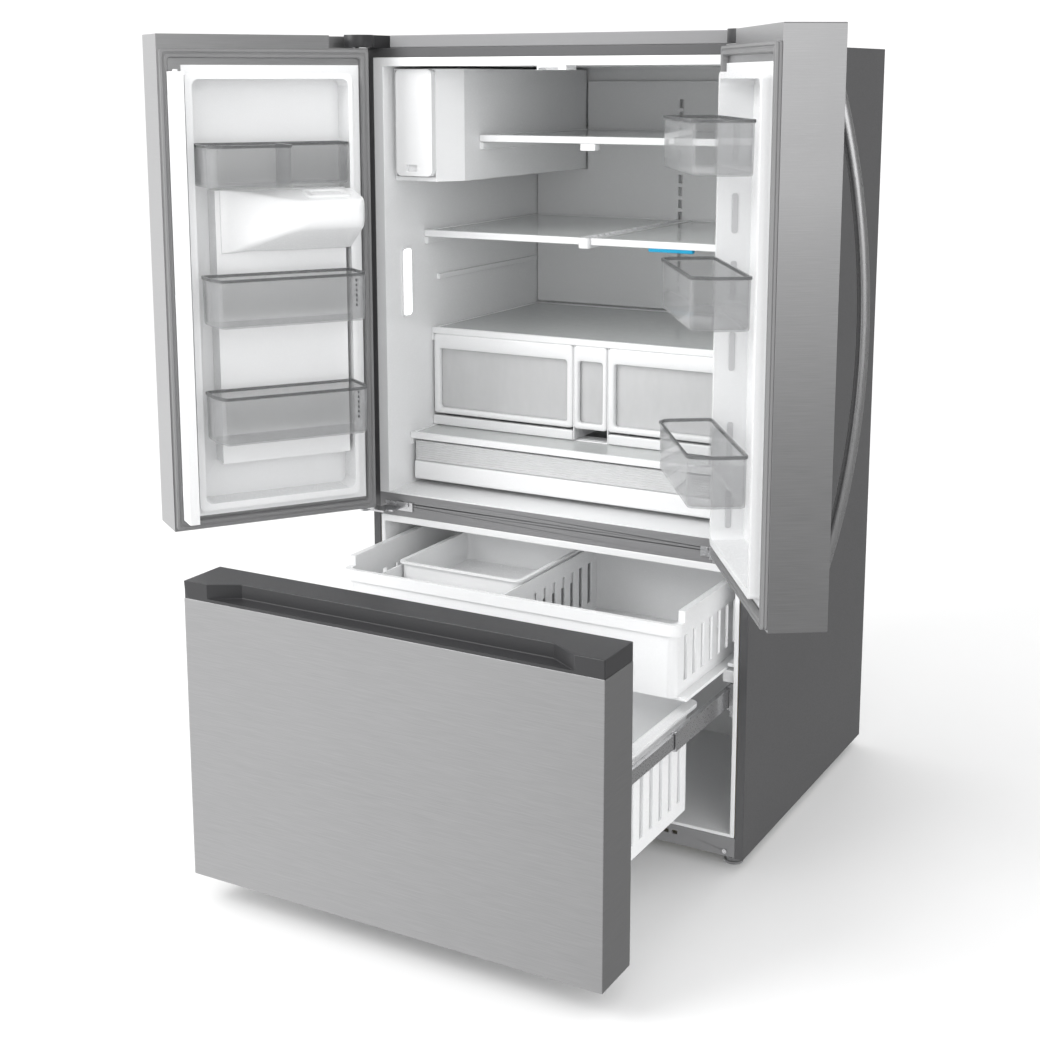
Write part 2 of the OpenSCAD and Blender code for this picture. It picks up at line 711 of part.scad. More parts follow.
// The cap has a long grip scoop along its front, with slanted ends.
scoop_end = 55;
module drawer_cap() color(dark_steel) translate([0, -drawer_out - door_gap, 0]) difference() {
    block([-front_x, -drawer_t, drawer_split], [front_x, 0, drawer_high]);
    translate([0, 0, drawer_split + 6]) linear_extrude(60) polygon([
        [-front_x + scoop_end, -drawer_t - past], [front_x - scoop_end, -drawer_t - past],
        [front_x - scoop_end - 60, -drawer_t + 34], [-front_x + scoop_end + 60, -drawer_t + 34]]);
}

module drawer_liner() color(white) translate([0, -drawer_out, 0]) union() {
    upright_plate(24 - front_x, front_x - 24, freezer_floor + 12, drawer_split - 14,
        seam - door_gap, 3 - door_gap, 12);
    upright_plate(60 - front_x, front_x - 60, freezer_floor + 40, drawer_split - 40,
        2 - door_gap, 10 - door_gap, 20);
}

module drawer_gasket() color("dimgray") translate([0, -drawer_out, 0]) difference() {
    upright_plate(6 - front_x, front_x - 6, drawer_low + 4, drawer_split + 14, seam - door_gap, -seam, 4);
    upright_plate(22 - front_x, front_x - 22, freezer_floor + 10, drawer_split - 2,
        -door_gap - past, past, 4);
}

// ---------------------------------------------------------------- doors

// A door piece is drawn in the door's own closed position: u runs from the hinge edge,
// w from the back of the door towards the case, and z is the height.
module hung_left() {
    translate([-hinge_x, hinge_y, 0])
        rotate(-door_open)
            translate([-axis_u, -axis_w, 0]) children();
}

module hung_right() {
    mirror([1, 0, 0]) hung_left() children();
}

pocket_u = [54, door_w - 64];
pocket_z = [742, fresh_top - 26];
dyke_u = [46, door_w - 50];
dyke_z = [728, fresh_top - 14];
block_z = [822, 1395];
recess_half = 105;
recess_mid = door_w / 2 - 1;
recess_u = [recess_mid - recess_half, recess_mid + recess_half];
block_u = [62, recess_u[1] + 15];
recess_z = [1000, 1330];
recess_d = 62;
paddle_w = recess_d - door_t - 30;
paddle_z = recess_z[1] - 70;

// The corner of a door that clears the hinge cover, grown by t.
module hinge_notch(t) {
    block([-past, axis_w - 45 - t, case_top - 1.5 - t], [86 + t, past, door_high + past]);
}

// The bores for the upper and the lower hinge pin.
module pin_bores() {
    translate([axis_u, axis_w, case_top - 40]) cylinder(h = 60, r = hinge_pin_r + pin_fit);
    translate([axis_u, axis_w, door_low - past]) cylinder(h = 32, r = hinge_pin_r + pin_fit);
}

// The hole in the door's front for the dispenser.
module dispenser_hole() {
    upright_plate(recess_u[0], recess_u[1], recess_z[0], recess_z[1], -door_t - past,
        recess_d - door_t, 10);
}

// The steel shell of a door: a front and four sides, with a lip around the back.
module door_shell(left) difference() {
    block([0, -door_t, door_low], [door_w, 0, door_high]);
    difference() {
        block([skin, skin - door_t, door_low + skin], [door_w - skin, -skin, door_high - skin]);
        hinge_notch(skin);
    }
    block([28, -2 * skin, dyke_z[0] - 10], [dyke_u[1] - 4, past, fresh_top - 2]);
    hinge_notch(0);
    pin_bores();
    if (left) dispenser_hole();
}

// The raised block in the left door's pocket, with its sides moved inwards by t.
block_w = 10;
module raised_block(t) {
    block([block_u[0] + t, -door_t, block_z[0] + t], [block_u[1] - t, block_w - t, block_z[1] - t]);
}

// The foam inside a door, with the pocket that the moulding lines.
module door_core(left) difference() {
    block([skin + seam, skin + seam - door_t, door_low + skin + seam],
        [door_w - skin - seam, -skin - seam, door_high - skin - seam]);
    difference() {
        upright_plate(pocket_u[0] - liner_t - seam, pocket_u[1] + liner_t + seam,
            pocket_z[0] - liner_t - seam, pocket_z[1] + liner_t + seam,
            -pocket_d - liner_t - seam, past, 18);
        if (left)
            raised_block(liner_t + seam);
    }
    hinge_notch(skin + seam);
    pin_bores();
    if (left) dispenser_hole();
}

// The white moulding on the back of a door: a flange, a raised rim and a pocket.
module door_moulding(left) {
    difference() {
        union() {
            block([24, seam / 2, dyke_z[0] - 14], [dyke_u[1] + 2, 3, fresh_top + 2]);
            upright_plate(dyke_u[0], dyke_u[1], dyke_z[0], dyke_z[1], seam / 2, 22, 12);
            upright_plate(pocket_u[0] - liner_t, pocket_u[1] + liner_t, pocket_z[0] - liner_t,
                pocket_z[1] + liner_t, -pocket_d - liner_t, 1, 18 - seam);
        }
        difference() {
            upright_plate(pocket_u[0], pocket_u[1], pocket_z[0], pocket_z[1], -pocket_d, 40, 15);
            if (left) raised_block(0);
        }
        if (left) raised_block(liner_t);
    }
}

// Heights of the bins' floors, from the lowest, and their depth.
bin_z = [885, 1125, 1405];
bin_h = 99;
right_bin_z = [887, 1197, 1459];

module door_gasket_ring() difference() {
    upright_plate(3, door_w - 3, door_low + 4, case_top - 5, seam, door_gap - 0.8, 6);
    upright_plate(22, door_w - 20, door_low + 26, case_top - 33, -past, door_gap + past, 4);
}

// A clear door bin, open above, with a slanted free end and round front corners.
bin_u = [57, door_w - 67];
module bin_plan(u0, u1, w0, w1, inset) {
    polygon([[u0 + inset, w0 + inset], [u1 - inset, w0 + inset], [u1 - inset, w1 - 44 + inset],
        [u1 - 12 - inset, w1 - inset], [u0 + 14 + inset, w1 - inset], [u0 + inset, w1 - 14 - inset]]);
}

module door_bin(z, h, back) translate([0, 0, z]) difference() {
    linear_extrude(h) bin_plan(bin_u[0], bin_u[1], back, bin_reach, 0);
    translate([0, 0, bin_wall]) linear_extrude(h) bin_plan(bin_u[0], bin_u[1], back, bin_reach, bin_wall);
}

module left_door_panel() color(steel) hung_left() door_shell(true);
module right_door_panel() color(steel) hung_right() door_shell(false);
module left_door_core() color("khaki") hung_left() door_core(true);
module right_door_core() color("khaki") hung_right() door_core(false);
module left_door_gasket() color("dimgray") hung_left() door_gasket_ring();
module right_door_gasket() color("dimgray") hung_right() door_gasket_ring();
module right_door_bins() color(clear) hung_right() for (z = right_bin_z) door_bin(z, 94, 24);
module right_door_liner() color(white) hung_right() door_moulding(false);

// The left door's top bin is shallow beside the ice chute.
shallow_w = 30;
step_u = 215;
module top_bin_plan(inset) {
    polygon([[bin_u[0] + inset, -30 + inset], [bin_u[1] - inset, -30 + inset],
        [bin_u[1] - inset, bin_reach - 44 + inset], [bin_u[1] - 12 - inset, bin_reach - inset],
        [step_u + inset, bin_reach - inset], [step_u + inset, shallow_w - inset],
        [bin_u[0] + inset, shallow_w - inset]]);
}

module left_door_bins() color(clear) hung_left() {
    for (z = [bin_z[0], bin_z[1]]) door_bin(z, bin_h, 24);
    translate([0, 0, bin_z[2]]) difference() {
        linear_extrude(85) top_bin_plan(0);
        translate([0, 0, bin_wall]) linear_extrude(85) top_bin_plan(bin_wall);
    }
}

// The bar that closes the gap between the doors. It stands folded here, and
// swings across the gap as the left door shuts.
flip_u = door_w - 21;
flip_w = 18.5;
flip_low = fresh_floor + 5;
flip_high = fresh_top - 11;
knuckles = [flip_low + 60, (flip_low + flip_high) / 2, flip_high - 60];
module flip_mullion() color(white) hung_left() difference() {
    union() {
        block([flip_u - 16, flip_w - 4.5, flip_low], [flip_u + 4.5, flip_w + 45, flip_high]);
        translate([flip_u - 5, flip_w + 24, flip_high - past]) cylinder(h = 5, r = 5);
    }
    for (z = knuckles) {
        block([flip_u - 17, flip_w - 7, z - 15.5], [flip_u + 7, flip_w + 7.5, z + 15.5]);
        translate([flip_u, flip_w, z - 30]) cylinder(h = 60, r = small_pin_r + pin_fit);
    }
}

module left_door_liner() color(white) hung_left() {
    door_moulding(true);
    for (z = knuckles) {
        block([dyke_u[1] - past, 2, z - 15], [dyke_u[1] + 24, 9.5, z + 15]);
        block([flip_u - 9, 2, z - 15], [flip_u - 1, flip_w, z + 15]);
        translate([flip_u, flip_w, z - 15]) cylinder(h = 30, r = 5.5);
        translate([flip_u, flip_w, z - 28]) cylinder(h = 56, r = small_pin_r);
    }
}

// The housing that leads ice from the ice maker through the door.
chute_u = [55, 250];
chute_top = 1388;
module ice_chute() color(white) hung_left() difference() {
    translate([chute_u[0], 0, 0]) rotate([90, 0, 90]) linear_extrude(chute_u[1] - chute_u[0])
        polygon([[10 + seam, 1262], [24, 1262], [112, 1326], [116, 1334], [112, chute_top - 8],
            [104, chute_top], [10 + seam, chute_top]]);
    translate([chute_u[1] - 62, 0, 1200]) rotate([0, 0, -32]) block([0, 0, 0], [200, 300, 200]);
    translate([case_x + ice_outlet[0], door_gap + ice_outlet[1], chute_top - 40]) cylinder(h = 60, r = 24);
    block([72, 28, chute_top - 6], [160, 110, chute_top + past]);
    rod_x(66, 166, 40, chute_top - 2, small_pin_r + pin_fit);
}

module chute_lid() color(white) hung_left() {
    difference() {
        translate([0, 0, chute_top - 5.5]) round_box([73, 36, 0], [159, 109, 8], 10);
        block([72, 35, chute_top - 6], [160, 44, chute_top + 10]);
    }
    block([73, 39, chute_top - 3.5], [159, 46, chute_top + 2]);
    rod_x(67, 165, 40, chute_top - 2, small_pin_r);
}

// The dispenser on the front of the left door: a dark bezel around a recess.
module dispenser_panel() color("black") hung_left() difference() {
    union() {
        upright_plate(recess_u[0] - 14, recess_u[1] + 14, recess_z[0] - 14, recess_z[1] + 60,
            -door_t - 4, -door_t - seam / 2, 12);
        upright_plate(recess_u[0] + seam, recess_u[1] - seam, recess_z[0] + seam, recess_z[1] - seam,
            -door_t - 1, recess_d - door_t - seam, 10 - seam);
    }
    difference() {
        upright_plate(recess_u[0] + 3, recess_u[1] - 3, recess_z[0] + 12, recess_z[1] - 30,
            -door_t - 5, recess_d - door_t - 3, 8);
        for (side = [-1, 1])
            translate([recess_mid + side * 36, 0, 0])
                block([-3, paddle_w - 7, paddle_z - 7], [3, recess_d - door_t, paddle_z + 7]);
    }
    rod_x(recess_mid - 42, recess_mid + 42, paddle_w, paddle_z, small_pin_r + pin_fit);
}

module dispenser_paddle() color("dimgray") hung_left() {
    upright_plate(recess_mid - 28, recess_mid + 28, recess_z[0] + 90, paddle_z + 4,
        paddle_w - 2, paddle_w + 2, 6);
    rod_x(recess_mid - 41, recess_mid + 41, paddle_w, paddle_z, small_pin_r);
}

// A bow handle: a flat bar bent to one large radius, cut off at the door's face.
handle_u = door_w - 45;
handle_half = (handle_high - handle_low) / 2;
bow_r = (handle_half * handle_half + handle_reach * handle_reach) / (2 * handle_reach);
module bow_handle() intersection() {
    translate([handle_u - handle_w / 2, -door_t - handle_reach + bow_r, handle_low + handle_half])
        rotate([0, 90, 0])
            difference() {
                cylinder(h = handle_w, r = bow_r, $fn = 360);
                translate([0, 0, -past])
                    cylinder(h = handle_w + 2 * past, r = bow_r - handle_t, $fn = 360);
            }
    block([handle_u - handle_w, -door_t - handle_reach - past, handle_low - 5],
        [handle_u + handle_w, -door_t - seam / 2, handle_high + 5]);
}

module left_door_handle() color(steel) hung_left() bow_handle();
module right_door_handle() color(steel) hung_right() bow_handle();

// The water valve on the lower rear of the case, with its inlet tube.
module water_inlet() color(grey) translate([inlet_x, case_d - 60, inlet_z]) {
    block([-20, -30, -18], [20, 40, 22]);
    rod_y(39, 80, 0, 0, inlet_r);
}

case_wrapper();
rear_panel();
machine_cover();
case_foam();
fresh_food_liner();
freezer_liner();
center_mullion();
base_plate();
base_frame();
top_trim();
hinge_covers();
hinge_brackets();
levelling_feet();
rear_rollers();
compressor();
condenser();
evaporator();
evaporator_cover();
air_duct_panel();
ice_maker_housing();
ice_maker();
ice_bucket();
light_strips();
shelf_frames();
shelf_glass();
drawer_covers();
left_crisper();
middle_bin();
right_crisper();
deli_pan();
slide_outer();
water_inlet();
screws();
left_door_panel();
left_door_core();
left_door_liner();
left_door_gasket();
left_door_handle();
left_door_bins();
flip_mullion();
ice_chute();
chute_lid();
dispenser_panel();
dispenser_paddle();
right_door_panel();
right_door_core();
right_door_liner();
right_door_gasket();
right_door_handle();
right_door_bins();
drawer_panel();
drawer_core();
drawer_cap();
drawer_liner();
drawer_gasket();
freezer_bin();
slide_middle();
slide_inner();
upper_basket();
small_tray();
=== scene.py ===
# %% [markdown]
# # A french door refrigerator, standing open
# This lesson dresses a refrigerator whose exact frame already exists: steel shells, liners,
# shelves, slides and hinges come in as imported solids. What is left is the work of a finisher:
# choose every surface, soften edges, and build the shapes that a plain solid can't give, such
# as the bowed handles, the clear door bins, the ribbed seals and the flowing ice chute.

# %% Load the frame
import json
import math

import bmesh
import bpy
from mathutils import Matrix, Vector


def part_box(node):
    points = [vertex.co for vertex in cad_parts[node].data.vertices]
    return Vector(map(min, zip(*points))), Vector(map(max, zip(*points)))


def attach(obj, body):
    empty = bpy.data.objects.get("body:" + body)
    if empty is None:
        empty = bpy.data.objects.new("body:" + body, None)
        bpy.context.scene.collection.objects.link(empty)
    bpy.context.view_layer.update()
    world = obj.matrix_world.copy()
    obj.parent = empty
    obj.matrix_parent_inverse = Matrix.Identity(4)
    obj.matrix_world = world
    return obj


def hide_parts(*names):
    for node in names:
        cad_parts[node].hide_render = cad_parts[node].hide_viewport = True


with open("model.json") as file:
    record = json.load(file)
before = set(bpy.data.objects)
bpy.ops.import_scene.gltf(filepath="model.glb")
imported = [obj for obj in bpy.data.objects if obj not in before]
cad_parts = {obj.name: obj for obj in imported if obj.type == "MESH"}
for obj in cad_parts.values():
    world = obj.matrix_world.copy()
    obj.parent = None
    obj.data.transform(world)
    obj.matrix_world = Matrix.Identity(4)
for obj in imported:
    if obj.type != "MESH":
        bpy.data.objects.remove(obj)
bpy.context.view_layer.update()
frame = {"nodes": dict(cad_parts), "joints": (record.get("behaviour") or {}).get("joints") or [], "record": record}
nodes = frame["nodes"]
MM = 0.001

# %% [markdown]
# ## Where things are
# The doors stand open, so a piece on a door is easiest to place as if the door were shut and
# then turned with it. A door piece is given by u, the distance from the hinge edge, by w, the
# distance from the door's back towards the case, and by its height. The hinge and its travel
# come from the frame, so the pieces follow if the doors are ever hung at another angle.

# %% Door coordinates
joints = {j["name"]: j for j in frame["joints"]}
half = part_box("case_wrapper")[1].x
HAND = {"left": -1, "right": 1}


def door_turn(side):
    """The turn that carries a shut door to where it stands."""
    hinge = joints[side + "_door_hinge"]
    pin = Matrix.Translation(Vector(hinge["pos_m"]))
    swing = Matrix.Rotation(-math.radians(hinge["range_deg"][1]), 4, Vector(hinge["axis"]))
    return pin @ swing @ pin.inverted()


turn = {side: door_turn(side) for side in HAND}


def shut_solids(side, node):
    """(u0, u1, w0, w1, z0, z1) of each separate solid of a door node, the lowest first."""
    bm = bmesh.new()
    bm.from_mesh(nodes[node].data)
    bmesh.ops.remove_doubles(bm, verts=bm.verts, dist=1e-6)
    back = turn[side].inverted()
    seen, found = set(), []
    for start in bm.verts:
        if start in seen:
            continue
        stack, points = [start], []
        seen.add(start)
        while stack:
            v = stack.pop()
            points.append(back @ v.co)
            for edge in v.link_edges:
                other = edge.other_vert(v)
                if other not in seen:
                    seen.add(other)
                    stack.append(other)
        us = [half - HAND[side] * p.x for p in points]
        ws = [p.y + door_gap for p in points]
        zs = [p.z for p in points]
        found.append((min(us), max(us), min(ws), max(ws), min(zs), max(zs)))
    bm.free()
    return sorted(found, key=lambda b: b[4])


# With the gap still at nothing, the panel's back lies one gap in front of the case.
door_gap = 0.0
door_gap = -shut_solids("left", "left_door_panel")[0][3]


def on_door(side):
    """A function that places (u, w, height) on a door."""

    def place(u, w, z):
        return turn[side] @ Vector((HAND[side] * (half - u), w - door_gap, z))

    return place


def upright(x, y, z):
    """Places a point of a piece that isn't on a door."""
    return Vector((x, y, z))


print("gap behind a shut door, mm:", round(door_gap / MM, 2))

# %% [markdown]
# ## Building with rings
# Nearly every moulded part is a skin stretched over a stack of outlines: a bin's outline grows,
# turns over at the rim and comes down inside. So the one tool here is a loft. An outline is a
# few corners with a rounding, drawn inwards by an inset, and always has the same number of
# points, which lets two different outlines be joined.

# %% Outlines and lofts
ARC_STEPS = 5
LEAST_ROUND = 0.5 * MM
SIDE_SHARE = 0.45  # the most of a side that one corner's rounding may take
SHARPEST = 0.2  # keeps a very sharp corner from running far away
EDGE_SHARE = 0.3  # the most of a block's height that its edge may take
MOST_EDGE = 1.5 * MM
SHARP_FROM = 38  # degrees between two faces from which their edge stays sharp
BEVEL_FROM = 35  # degrees between two faces from which their edge is rounded
BEVEL_STEPS = 2


def outline(corners, inset=0.0, radius=0.0):
    """Corners in order, counterclockwise, moved inwards and rounded with small curves."""
    count = len(corners)
    moved = []
    for i in range(count):
        p, q, r = (Vector(corners[(i + k) % count]) for k in (-1, 0, 1))
        a, b = (q - p).normalized(), (r - q).normalized()
        na, nb = Vector((-a.y, a.x)), Vector((-b.y, b.x))
        along = na + nb
        moved.append(q + along * (inset / max(SHARPEST, 1 + na.dot(nb))))
    ring = []
    for i in range(count):
        p, q, r = (moved[(i + k) % count] for k in (-1, 0, 1))
        reach = min(max(radius - inset, LEAST_ROUND), (p - q).length * SIDE_SHARE,
                    (r - q).length * SIDE_SHARE)
        start, end = q + (p - q).normalized() * reach, q + (r - q).normalized() * reach
        for k in range(ARC_STEPS + 1):
            t = k / ARC_STEPS
            ring.append(start * (1 - t) ** 2 + q * (2 * t * (1 - t)) + end * t * t)
    return ring


def rectangle(a0, a1, b0, b1):
    """The four corners of a rectangle, counterclockwise."""
    return [(a0, b0), (a1, b0), (a1, b1), (a0, b1)]


class Piece:
    """A mesh that grows by lofts and blocks, and is then given its place and its finish."""

    def __init__(self):
        self.bm = bmesh.new()

    def loft(self, rings, closed=False):
        """Skins a row of rings: closed joins the last to the first, else the ends are capped."""
        rows = [[self.bm.verts.new(p) for p in ring] for ring in rings]
        pairs = list(zip(rows, rows[1:])) + ([(rows[-1], rows[0])] if closed else [])
        for low, high in pairs:
            for i in range(len(low)):
                k = (i + 1) % len(low)
                self.bm.faces.new((low[i], low[k], high[k], high[i]))
        if not closed:
            self.bm.faces.new(list(reversed(rows[0])))
            self.bm.faces.new(rows[-1])
        return self

    def block(self, low, high, place=upright, radius=0.0):
        """A block between two corners, with its upright edges rounded."""
        ring = outline(rectangle(low[0], high[0], low[1], high[1]), radius=radius)
        edge = min(radius, (high[2] - low[2]) * EDGE_SHARE, MOST_EDGE)
        small = outline(rectangle(low[0], high[0], low[1], high[1]), edge, radius + edge)
        stack = [(small, low[2]), (ring, low[2] + edge), (ring, high[2] - edge), (small, high[2])]
        return self.loft([[place(p.x, p.y, z) for p in r] for r, z in stack])

    def done(self, name, body, slot, finish, replaces=(), bevel=0.0,
             angle=SHARP_FROM):
        """Closes the mesh, gives it its finish and hands it to the frame."""
        bmesh.ops.recalc_face_normals(self.bm, faces=self.bm.faces)
        mesh = bpy.data.meshes.new(name)
        self.bm.to_mesh(mesh)
        self.bm.free()
        for face in mesh.polygons:
            face.use_smooth = True
        mesh.set_sharp_from_angle(angle=math.radians(angle))
        obj = bpy.data.objects.new(name, mesh)
        bpy.context.scene.collection.objects.link(obj)
        mesh.materials.append(finish)
        if bevel:
            add_bevel(obj, bevel)
        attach(obj, body)
        if replaces:
            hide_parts(*replaces)
        return obj


def add_bevel(obj, width):
    """Rounds every edge that turns by more than BEVEL_FROM degrees."""
    bevel = obj.modifiers.new("rounding", "BEVEL")
    bevel.width = width
    bevel.segments = BEVEL_STEPS
    bevel.limit_method = "ANGLE"
    bevel.angle_limit = math.radians(BEVEL_FROM)


print("an outline of four corners has", len(outline(rectangle(0, 1, 0, 1))), "points")

# %% [markdown]
# ## Finishes
# Each finish is a small network. Fine noise in the surface's own space drives a little bump,
# a little roughness and a little colour, because no real sheet or moulding is even. Anything
# that is the same everywhere is set straight on the shader.

# %% A base for every finish
def start_finish(name, **sockets):
    """A new material, its shader with the even values set, and a coordinate source."""
    material = bpy.data.materials.new(name)
    material.use_nodes = True
    tree = material.node_tree
    shader = tree.nodes["Principled BSDF"]
    for socket, value in sockets.items():
        shader.inputs[socket.replace("_", " ")].default_value = value
    coordinates = tree.nodes.new("ShaderNodeTexCoord")
    return material, tree, shader, coordinates.outputs["Object"]


NOISE_LOW, NOISE_HIGH = 0.3, 0.7  # most of a noise's values lie between these
MIX_FACTOR, MIX_DARK, MIX_LIGHT, MIX_COLOUR = 0, 6, 7, 2  # sockets of a Mix node for colours


def stretched_noise(tree, source, scale, detail=3.0):
    """Noise whose cells are 1/scale metres long along each axis."""
    stretch = tree.nodes.new("ShaderNodeMapping")
    stretch.inputs["Scale"].default_value = scale
    noise = tree.nodes.new("ShaderNodeTexNoise")
    noise.inputs["Scale"].default_value = 1.0
    noise.inputs["Detail"].default_value = detail
    tree.links.new(source, stretch.inputs["Vector"])
    tree.links.new(stretch.outputs["Vector"], noise.inputs["Vector"])
    return noise.outputs["Fac"]


def spread(tree, value, low, high):
    """Spreads a noise value between two numbers."""
    node = tree.nodes.new("ShaderNodeMapRange")
    node.inputs["From Min"].default_value = NOISE_LOW
    node.inputs["From Max"].default_value = NOISE_HIGH
    node.inputs["To Min"].default_value = low
    node.inputs["To Max"].default_value = high
    tree.links.new(value, node.inputs["Value"])
    return node.outputs["Result"]


def tint(tree, value, dark, light):
    """Mixes two colours by a noise value."""
    node = tree.nodes.new("ShaderNodeMix")
    node.data_type = "RGBA"
    node.inputs[MIX_DARK].default_value = (*dark, 1)
    node.inputs[MIX_LIGHT].default_value = (*light, 1)
    tree.links.new(value, node.inputs[MIX_FACTOR])
    return node.outputs[MIX_COLOUR]


def bump(tree, shader, value, depth, strength=1.0):
    """Raises the surface by a noise value, depth metres at most."""
    node = tree.nodes.new("ShaderNodeBump")
    node.inputs["Distance"].default_value = depth
    node.inputs["Strength"].default_value = strength
    tree.links.new(value, node.inputs["Height"])
    tree.links.new(node.outputs["Normal"], shader.inputs["Normal"])


def shade(grey, change=0.0):
    """A grey, lighter or darker by a share."""
    return tuple(min(1.0, g * (1 + change)) for g in grey)


# %% [markdown]
# ### Brushed steel
# The fronts are sheet steel, brushed along their width. The brush leaves strokes a few
# centimetres long and less than a millimetre high. Noise that is squeezed in height and
# stretched along the sheet gives those strokes, and a second, broad noise keeps a large panel
# from looking printed.

# %% Steel finishes
BROAD_SHARE = 0.3


def brushed(name, grey, stroke=(18, 18, 1500), rough=(0.27, 0.40), mottle=0.09):
    """Steel with strokes in its roughness, colour and bump."""
    material, tree, shader, source = start_finish(name, Metallic=1.0, Specular_IOR_Level=0.5)
    strokes = stretched_noise(tree, source, stroke, 4.0)
    broad = stretched_noise(tree, source, (3, 3, 5), 2.0)
    both = tree.nodes.new("ShaderNodeMath")
    both.operation = "MULTIPLY_ADD"
    both.inputs[1].default_value = BROAD_SHARE
    tree.links.new(broad, both.inputs[0])
    tree.links.new(strokes, both.inputs[2])
    colour = tint(tree, spread(tree, strokes, 0, 1), shade(grey, -mottle), shade(grey, mottle))
    tree.links.new(colour, shader.inputs["Base Color"])
    tree.links.new(spread(tree, both.outputs[0], *rough), shader.inputs["Roughness"])
    bump(tree, shader, strokes, 0.04 * MM, 0.5)
    return material


def plain_steel(name, grey, rough=0.3):
    """Rolled or plated metal with a fine cloud instead of strokes."""
    material, tree, shader, source = start_finish(name, Metallic=1.0)
    cloud = stretched_noise(tree, source, (320, 320, 320), 2.0)
    tree.links.new(tint(tree, cloud, shade(grey, -0.08), shade(grey, 0.08)),
                   shader.inputs["Base Color"])
    tree.links.new(spread(tree, cloud, rough - 0.06, rough + 0.1), shader.inputs["Roughness"])
    bump(tree, shader, cloud, 0.01 * MM, 0.2)
    return material


front_steel = brushed("front_steel", (0.43, 0.43, 0.435))
handle_steel = brushed("handle_steel", (0.50, 0.50, 0.505), (700, 700, 30), (0.2, 0.3), 0.05)
bright_steel = plain_steel("bright_steel", (0.62, 0.62, 0.63))
coil_metal = plain_steel("coil_metal", (0.70, 0.70, 0.71), 0.38)
print("steel finishes:", front_steel.name, handle_steel.name, bright_steel.name)

# %% [markdown]
# ### Painted sheet and mouldings
# The case is a painted sheet with a slight orange peel. The plastic parts are moulded: glossy
# where food must wipe off, finely sparked where hands go. Both are one function with another
# grain size and depth.

# %% Paint and plastic finishes
def moulded(name, colour, rough, grain=900, depth=0.00003, drift=0.03, coat=0.0, **more):
    """Paint or plastic: grain cells in a metre, depth of the grain, drift of the colour."""
    material, tree, shader, source = start_finish(name, Coat_Weight=coat, **more)
    grains = stretched_noise(tree, source, (grain,) * 3, 2.0)
    broad = stretched_noise(tree, source, (5, 5, 5), 2.0)
    tree.links.new(tint(tree, broad, shade(colour, -drift), shade(colour, drift)),
                   shader.inputs["Base Color"])
    tree.links.new(spread(tree, grains, rough - 0.05, rough + 0.06), shader.inputs["Roughness"])
    bump(tree, shader, grains, depth, 0.6)
    return material


case_paint = moulded("case_paint", (0.105, 0.105, 0.108), 0.36, 420, 0.00006, 0.06, Metallic=0.35)
galvanised = moulded("galvanised", (0.42, 0.43, 0.44), 0.42, 60, 0.00003, 0.12, Metallic=0.8)
white_plastic = moulded("white_plastic", (0.875, 0.88, 0.885), 0.24, 700, 0.00002, 0.012)
grey_plastic = moulded("grey_plastic", (0.245, 0.245, 0.25), 0.42, 1100, 0.00004)
pale_plastic = moulded("pale_plastic", (0.60, 0.60, 0.61), 0.4, 1100, 0.00004)
dark_plastic = moulded("dark_plastic", (0.034, 0.034, 0.036), 0.38, 1300, 0.00006, 0.05)
gloss_black = moulded("gloss_black", (0.010, 0.010, 0.012), 0.10, 300, 0.00001, 0.1, 0.5)
black_enamel = moulded("black_enamel", (0.02, 0.02, 0.02), 0.3, 200, 0.0001, 0.1)
seal_rubber = moulded("seal_rubber", (0.22, 0.22, 0.223), 0.55, 1500, 0.00005, 0.05)
blue_plastic = moulded("blue_plastic", (0.0, 0.34, 0.58), 0.3, 900, 0.00002, 0.03)
foam = moulded("foam", (0.78, 0.70, 0.45), 0.9, 260, 0.0006, 0.08)
print("paint and plastic finishes:", case_paint.name, white_plastic.name, seal_rubber.name)

# %% [markdown]
# ### Clear parts
# A wall three millimetres thick looks nearly empty from the front and dense where the eye runs
# along it. The Layer Weight node gives that slope, and here it drives how much of the surface
# covers what lies behind. That keeps the inside of the cabinet bright, where true refraction
# would pile up dark layers.

# %% Clear finishes
def clear(name, colour, face, edge, rough=0.06):
    """Clear plastic or glass that covers a share of what is behind it, more along its edge."""
    material, tree, shader, source = start_finish(name, IOR=1.45, Specular_IOR_Level=0.6)
    slope = tree.nodes.new("ShaderNodeLayerWeight")
    slope.inputs["Blend"].default_value = 0.5
    cover = tree.nodes.new("ShaderNodeMapRange")
    cover.inputs["To Min"].default_value = face
    cover.inputs["To Max"].default_value = edge
    tree.links.new(slope.outputs["Facing"], cover.inputs["Value"])
    tree.links.new(cover.outputs["Result"], shader.inputs["Alpha"])
    flow = stretched_noise(tree, source, (60, 60, 25), 2.0)
    tree.links.new(tint(tree, flow, shade(colour, -0.05), shade(colour, 0.05)),
                   shader.inputs["Base Color"])
    tree.links.new(spread(tree, flow, rough * 0.5, rough * 1.6), shader.inputs["Roughness"])
    bump(tree, shader, flow, 0.1 * MM, 0.35)
    return material


bin_plastic = clear("bin_plastic", (0.36, 0.365, 0.37), 0.10, 0.58)
# The rim band's dark colour is painted shade: it stands in for how dark a clear wall looks where the eye runs
# along it.
rim_shade_plastic = clear("rim_shade_plastic", (0.13, 0.133, 0.136), 0.50, 0.85)
# The window plastic's near-white colour and high cover are painted light: they stand in for the lit inside of the
# crispers and the deli pan seen through the windows.
painted_light_window = clear("painted_light_window", (0.88, 0.885, 0.89), 0.45, 0.92, 0.10)
pane_glass = clear("pane_glass", (0.86, 0.88, 0.875), 0.20, 0.70, 0.03)


